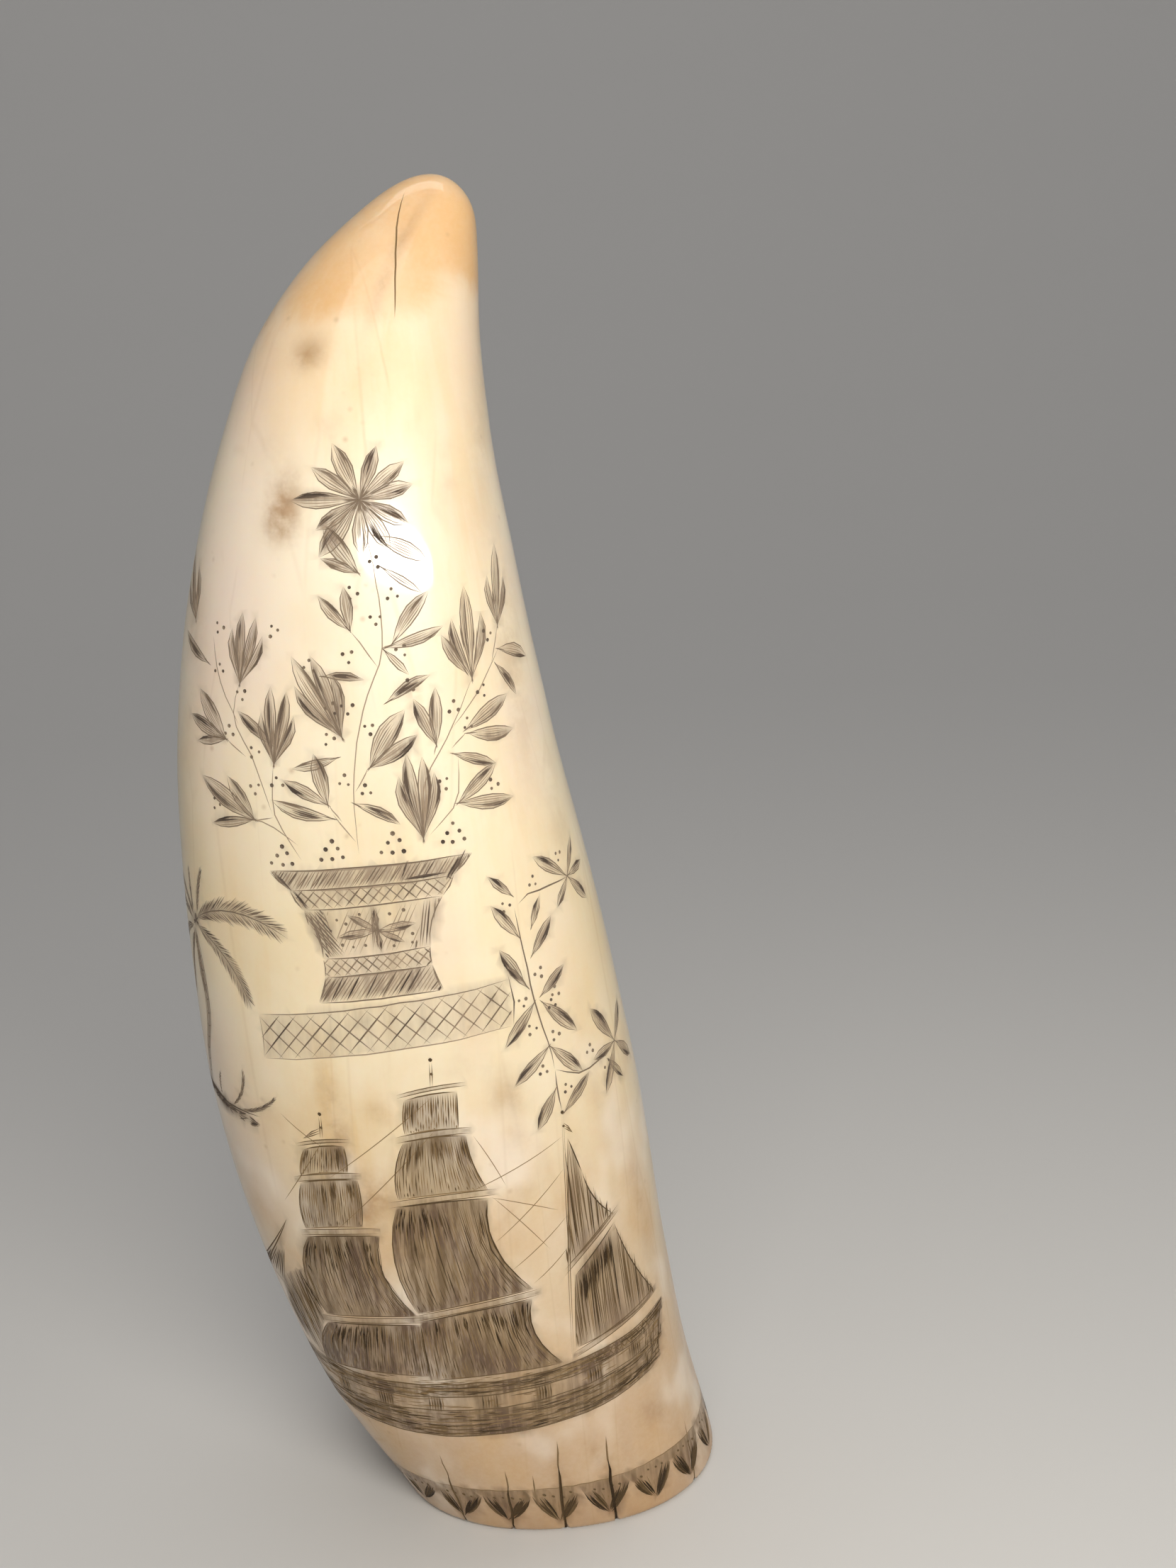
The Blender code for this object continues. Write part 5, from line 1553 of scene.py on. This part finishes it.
def stretched(vector, z):
    # place with its upright scale changed: under 1 draws a texture out along the tooth
    return addNode("ShaderNodeMapping", {"Vector": vector, "Scale": (1, 1, z)})[0]


def bump(height, strength, distance):
    return addNode("ShaderNodeBump", {"Height": height, "Strength": strength,
                                      "Distance": distance})[0]


def attribute(name, output):
    return addNode("ShaderNodeAttribute", {}, attribute_name=name)[output]


def addGroup(group, inputs):
    return addNode("ShaderNodeGroup", inputs, node_tree=group)


def makeDentineGroup():
    # clouds, long growth streaks and fine grain of tooth ivory; place in metres
    group, given, out = newGroup(
        "dentine", (("Place", "NodeSocketVector", None), ("Cloud Scale", "NodeSocketFloat", 55.0),
                    ("Streak Scale", "NodeSocketFloat", 420.0)),
        ("Clouds", "Streaks", "Grain"))
    place = given["Place"]
    clouds = noise(place, given["Cloud Scale"], 5, 0.6, 0.6)
    streaks = noise(stretched(place, 0.07), given["Streak Scale"], 3, 0.6, 0.3)
    grain = noise(place, 1500.0, 2, 0.6)
    feed(out, {"Clouds": ramp(clouds, 0.3, 0.7), "Streaks": ramp(streaks, 0.35, 0.7),
               "Grain": ramp(grain, 0.3, 0.7)})
    return group


def makeHandlingGroup():
    # hairline scratches and small pits from two centuries of handling
    group, given, out = newGroup(
        "handling", (("Place", "NodeSocketVector", None),
                     ("Scratch Width", "NodeSocketFloat", 0.02)),
        ("Scratches", "Pits"))
    place = given["Place"]
    total = None
    for turn, scale in (((0.3, 0.2, 0.9), 70.0), ((1.1, 0.6, -0.5), 95.0),
                        ((-0.7, 0.4, 0.2), 120.0)):
        turned = addNode("ShaderNodeMapping", {"Vector": place, "Rotation": turn,
                                               "Scale": (1.0, 1.0, 0.06)})[0]
        cells = addNode("ShaderNodeTexVoronoi", {"Vector": turned, "Scale": scale},
                        feature="DISTANCE_TO_EDGE")[0]
        line = ramp(cells, 0.0, given["Scratch Width"], 1.0, 0.0)
        line = times(line, ramp(noise(turned, scale * 1.7, 2), 0.52, 0.6))     # broken up
        total = line if total is None else maths("MAXIMUM", total, line)
    pits = addNode("ShaderNodeTexVoronoi", {"Vector": place, "Scale": 420.0})[0]
    sparse = ramp(noise(place, 130.0, 2), 0.56, 0.64)
    feed(out, {"Scratches": total, "Pits": times(ramp(pits, 0.0, 0.22, 1.0, 0.0), sparse)})
    return group


dentineGroup, handlingGroup = makeDentineGroup(), makeHandlingGroup()


def makeIvory():
    look = whaleTooth
    material, shader, place = startMaterial("polishedIvory", look["cream"])
    dentine = addGroup(dentineGroup, {"Place": place})
    handling = addGroup(handlingGroup, {"Place": place})
    clouds, streaks, grain = (dentine[k] for k in ("Clouds", "Streaks", "Grain"))
    scratches, pits = handling["Scratches"], handling["Pits"]
    brown, yellow, rose = addNode("ShaderNodeSeparateColor", {0: attribute("stains", "Color")})[:3]
    haze = attribute("inkHaze", "Fac")
    height = addNode("ShaderNodeSeparateXYZ", {0: place})[2]

    colour = mix(times(clouds, 0.55), look["cream"], look["pale"])
    colour = mix(ramp(height, *look["boneBand"], 0.0, 0.6), colour, look["bone"])
    colour = mix(times(rose, ramp(clouds, 0, 1, 0.5, 0.95)), colour, look["rosy"])
    colour = mix(times(yellow, ramp(streaks, 0, 1, 0.45, 0.85)), colour, look["honey"])
    # slow drift of the whole tooth's tone, golden to rosy
    drift = noise(stretched(place, 0.8), 42.0, 2, 0.5)
    colour = mix(ramp(drift, 0.5, 0.72, 0.0, 0.34), colour, look["honey"])
    colour = mix(ramp(drift, 0.48, 0.3, 0.0, 0.45), colour, look["rosy"])
    # the tip is stained amber down to a ragged edge
    ragged, wide = noise(place, 150.0, 4, 0.6, 0.5), noise(place, 40.0, 2)
    edge = height
    for wander, reach in ((ragged, 0.006), (wide, 0.02)):
        edge = maths("ADD", edge, times(maths("SUBTRACT", wander, 0.5), reach))
    cap = ramp(edge, *look["capEdge"])
    colour = mix(ramp(edge, *look["capFade"], 0.0, 0.35), colour, look["capOrange"])
    colour = mix(times(cap, ramp(clouds, 0, 1, 0.55, 0.95)), colour, look["capOrange"])
    # and the colour turns darker and tan toward the foot
    colour = mix(ramp(height, *look["tanBand"], 0.95, 0.0), colour, look["tan"])
    # brown age marks, broken up by the grain
    broken = ramp(noise(place, 240.0, 4, 0.65), 0.3, 0.65, 0.25, 0.9)
    colour = mix(times(brown, broken, clamp=True), colour, look["ageBrownAndShade"])
    # the ground under the drawing of the ship is mottled: blanched spots, then old brown polish
    blotches = noise(stretched(place, 0.7), 130.0, 2, 0.45)
    low = ramp(height, *look["shipGround"])
    for edges, above, name in (((0.5, 0.3), 0.1, "blanched"), ((0.48, 0.72), 0.08, "oldPolish")):
        spots = times(ramp(blotches, *edges), ramp(low, 0, 1, 0.55, above, "LINEAR"))
        colour = mix(spots, colour, look[name])
    # growth streaks and grain, faint
    colour = mix(times(streaks, 0.06), colour, look["honey"])
    colour = mix(times(grain, 0.06), colour, look["pale"])
    # soot left in the polish round the drawing, smeared and streaked
    smear = ramp(noise(stretched(place, 0.35), 300.0, 4, 0.6), 0.25, 0.65, 0.66, 1.04)
    drips = ramp(noise(stretched(place, 0.1), 1300.0, 3, 0.6), 0.3, 0.68, 0.7, 1.12)
    soot = times(times(ramp(haze, 0.02, 0.9, 0.0, 1.0, "LINEAR"), smear), drips, clamp=True)
    rust = mix(ramp(noise(place, 190.0, 3, 0.6), 0.42, 0.62), look["hazeBrown"], look["hazeRust"])
    hazeColour = mix(ramp(height, *look["brownBelow"], 1.0, 0.0), look["hazeGrey"], rust)
    colour = mix(soot, colour, hazeColour)
    # grime in scratches and pits, and painted shade toward the sawn rim, where the foot curves
    # under
    rimShadeHeight = maths("ADD", height, times(broken, 0.004))
    for grimeAndRimShade in (times(scratches, 0.08), times(pits, 0.35),
                  ramp(rimShadeHeight, 0.001, 0.012, 0.55, 0.0)):
        colour = mix(grimeAndRimShade, colour, look["ageBrownAndShade"])

    gloss = ramp(clouds, 0, 1, 0.42, 0.52)
    for wear in (times(scratches, 0.15), times(haze, 0.10), ramp(height, 0.0, 0.03, 0.10, 0.0)):
        gloss = maths("ADD", gloss, wear)
    relief = times(streaks, 0.25)
    for dip in (times(scratches, 0.5), times(pits, 0.8)):
        relief = maths("SUBTRACT", relief, dip)
    feed(shader, {"Base Color": colour, "Roughness": gloss, "Normal": bump(relief, 0.12, 0.0001),
                  "IOR": look["ivoryIor"], "Coat Weight": 0.55, "Coat Roughness": 0.07,
                  "Subsurface Weight": 0.3, "Subsurface Radius": (1.0, 0.62, 0.36),
                  "Subsurface Scale": 0.0022})
    return material


def makeInk(name, colour):
    # soot ink, dull in its cuts; the colour is even, its surface isn't
    material, shader, place = startMaterial(name, colour)
    scratches = addGroup(handlingGroup, {"Place": place, "Scratch Width": 0.05})["Scratches"]
    grit = noise(place, 3500.0, 3, 0.6)
    dull = maths("SUBTRACT", ramp(grit, 0.3, 0.7, 0.5, 0.8), times(scratches, 0.2))
    feed(shader, {"Base Color": colour, "Roughness": dull, "Normal": bump(grit, 0.4, 0.00005),
                  "IOR": 1.3})
    return material


def makeSawnBase():
    look = whaleTooth
    material, shader, place = startMaterial("sawnBase", look["sawnPale"])
    dentine = addGroup(dentineGroup, {"Place": place, "Cloud Scale": 120.0, "Streak Scale": 700.0})
    share = attribute("ringShare", "Fac")
    ring = maths("ADD", share, times(maths("SUBTRACT", noise(place, 160.0, 3), 0.5), 0.12))
    broad, fine = (maths("SINE", times(ring, count)) for count in (75.0, 190.0))
    seam = maths("ABSOLUTE", maths("SUBTRACT", ring, 0.83))      # where the outer cement begins
    colour = look["sawnPale"]
    for mask, name in ((ramp(ring, 0.0, 0.5, 1.0, 0.0), "sawnCore"),
                       (times(ramp(broad, -1, 1), 0.28), "sawnCore"),
                       (times(ramp(fine, 0.2, 1), 0.14), "ageBrownAndShade"),
                       (ramp(ring, 0.80, 0.86), "pale"),
                       (times(ramp(seam, 0.0, 0.02, 1.0, 0.0), 0.6), "ageBrownAndShade"),
                       (times(dentine["Clouds"], 0.35), "ageBrownAndShade"),
                       (ramp(share, -0.02, -0.45), "pulpBrown")):     # the cavity darkens upward
        colour = mix(mask, colour, look[name])
    across = addNode("ShaderNodeSeparateXYZ", {0: place})[1]
    saw = ramp(maths("SINE", times(across, 9000.0)), -1, 1)
    marks = times(saw, ramp(noise(place, 90.0, 2), 0.4, 0.6))
    relief = maths("ADD", times(marks, 0.5), times(dentine["Grain"], 0.5))
    feed(shader, {"Base Color": colour, "Roughness": ramp(dentine["Clouds"], 0, 1, 0.45, 0.7),
                  "Normal": bump(relief, 0.5, 0.0001), "IOR": look["ivoryIor"]})
    return material


tooth = buildTooth()
finishes = [makeIvory()]
for family in inkFamilies:
    for strength, colour in zip(("Heavy", "Full", "Soft", "Faint"), whaleTooth[family + "Inks"]):
        finishes.append(makeInk(family + "Ink" + strength, colour))
for material in finishes + [makeSawnBase()]:
    tooth.data.materials.append(material)
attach(tooth, "root")
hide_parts("whale_tooth")
print("finishes made")

# studio
studio = {
    "cameraAt": (0.02008, -0.17500, 0.13005),
    "lookAt": (0.02008, 0.0, 0.09285),
    "roll": -4.0,               # degrees; the tooth leans back a little more in view
    "lens": 33.01,
    "sensor": 36.0,
    "floorColour": (0.64, 0.63, 0.615, 1),
    "floorReach": 2.4,
    "wallCurve": 1.7,
    "wallTop": 2.4,
    "skyColour": (0.93, 0.95, 1.0, 1),
    "skyStrength": 0.12,
}


def placeCamera():
    at, target = Vector(studio["cameraAt"]), Vector(studio["lookAt"])
    ahead = (target - at).normalized()
    right = ahead.cross(Vector((0, 0, 1))).normalized()
    up = right.cross(ahead)
    turn = math.radians(studio["roll"])
    tilted = right * math.cos(turn) + up * math.sin(turn)
    raised = up * math.cos(turn) - right * math.sin(turn)
    data = bpy.data.cameras.new("camera")
    data.lens, data.sensor_width = studio["lens"], studio["sensor"]
    data.clip_start, data.clip_end = 0.01, 20.0
    camera = bpy.data.objects.new("camera", data)
    camera.matrix_world = Matrix.Translation(at) @ Matrix(
        (tilted, raised, -ahead)).transposed().to_4x4()
    bpy.context.scene.collection.objects.link(camera)
    bpy.context.scene.camera = camera


def makeStage():
    # round pale floor that curves up into a low wall
    reach, curveRadius, top = studio["floorReach"], studio["wallCurve"], studio["wallTop"]
    level, bends, sides = reach - curveRadius, 10, 96
    profile = [(0.4 * level, 0.0), (level, 0.0)]
    for turn in (0.5 * math.pi * k / bends for k in range(1, bends + 1)):
        profile.append((level + curveRadius * math.sin(turn),
                        curveRadius - curveRadius * math.cos(turn)))
    profile.append((reach, top))
    points = [(0, 0, 0)]
    for radius, height in profile:
        for turn in (2 * math.pi * k / sides for k in range(sides)):
            points.append((radius * math.cos(turn), radius * math.sin(turn), height))
    faces = [(0, 1 + k, 1 + (k + 1) % sides) for k in range(sides)]
    for row in range(len(profile) - 1):
        for k in range(sides):
            a, b = 1 + row * sides + k, 1 + row * sides + (k + 1) % sides
            faces.append((a, a + sides, b + sides, b))
    mesh = bpy.data.meshes.new("studioFloor")
    mesh.from_pydata(points, [], faces)
    mesh.polygons.foreach_set("use_smooth", [True] * len(faces))
    floor = bpy.data.objects.new("studioFloor", mesh)
    bpy.context.scene.collection.objects.link(floor)
    material, shader, place = startMaterial("paperFloor", studio["floorColour"])
    feed(shader, {"Base Color": studio["floorColour"],
                  "Roughness": ramp(noise(place, 900.0), 0, 1, 0.65, 0.8)})
    mesh.materials.append(material)


def addLamp(name, at, target, wide, high, power, colour, shape="RECTANGLE", roll=0.0):
    data = bpy.data.lights.new(name, "AREA")
    data.shape, data.size, data.size_y = shape, wide, high
    data.energy, data.color = power, colour
    lamp = bpy.data.objects.new(name, data)
    lamp.location = at
    lamp.visible_camera = False
    aim = (Vector(target) - Vector(at)).to_track_quat("-Z", "Y")
    lamp.rotation_euler = (aim @ Quaternion((0, 0, 1), math.radians(roll))).to_euler()
    bpy.context.scene.collection.objects.link(lamp)


placeCamera()
makeStage()
# the key's mirror image is the bright patch under the flower
addLamp("keyStrip", (0.096, -0.236, 0.188), (0.001, -0.016, 0.1236), 0.20, 0.024, 0.68,
        (1.0, 0.965, 0.89), "ELLIPSE", -6)
for lamp in (
        ("frontFill", (-0.02, -0.36, 0.42), (0, 0, 0.14), 0.26, 0.20, 0.40, (1.0, 0.97, 0.93)),
        ("overheadSoftbox", (0.06, -0.20, 0.75), (0, 0, 0.12), 0.7, 0.5, 0.5, (1.0, 0.98, 0.95)),
        ("coolSideBox", (-0.55, -0.28, 0.30), (-0.01, 0, 0.07), 0.35, 0.5, 0.05, (0.88, 0.93, 1.0)),
        ("backdropWash", (0.0, 0.4, 2.3), (0.0, 1.9, 0.5), 1.6, 1.0, 15.0, (1.0, 0.985, 0.97))):
    addLamp(*lamp)
world = bpy.data.worlds.new("studioWorld")
world.use_nodes = True
backdrop = world.node_tree.nodes["Background"]
backdrop.inputs[0].default_value = studio["skyColour"]
backdrop.inputs[1].default_value = studio["skyStrength"]
bpy.context.scene.world = world
bpy.context.scene.view_settings.view_transform = "Standard"
print("camera, floor and lights placed")
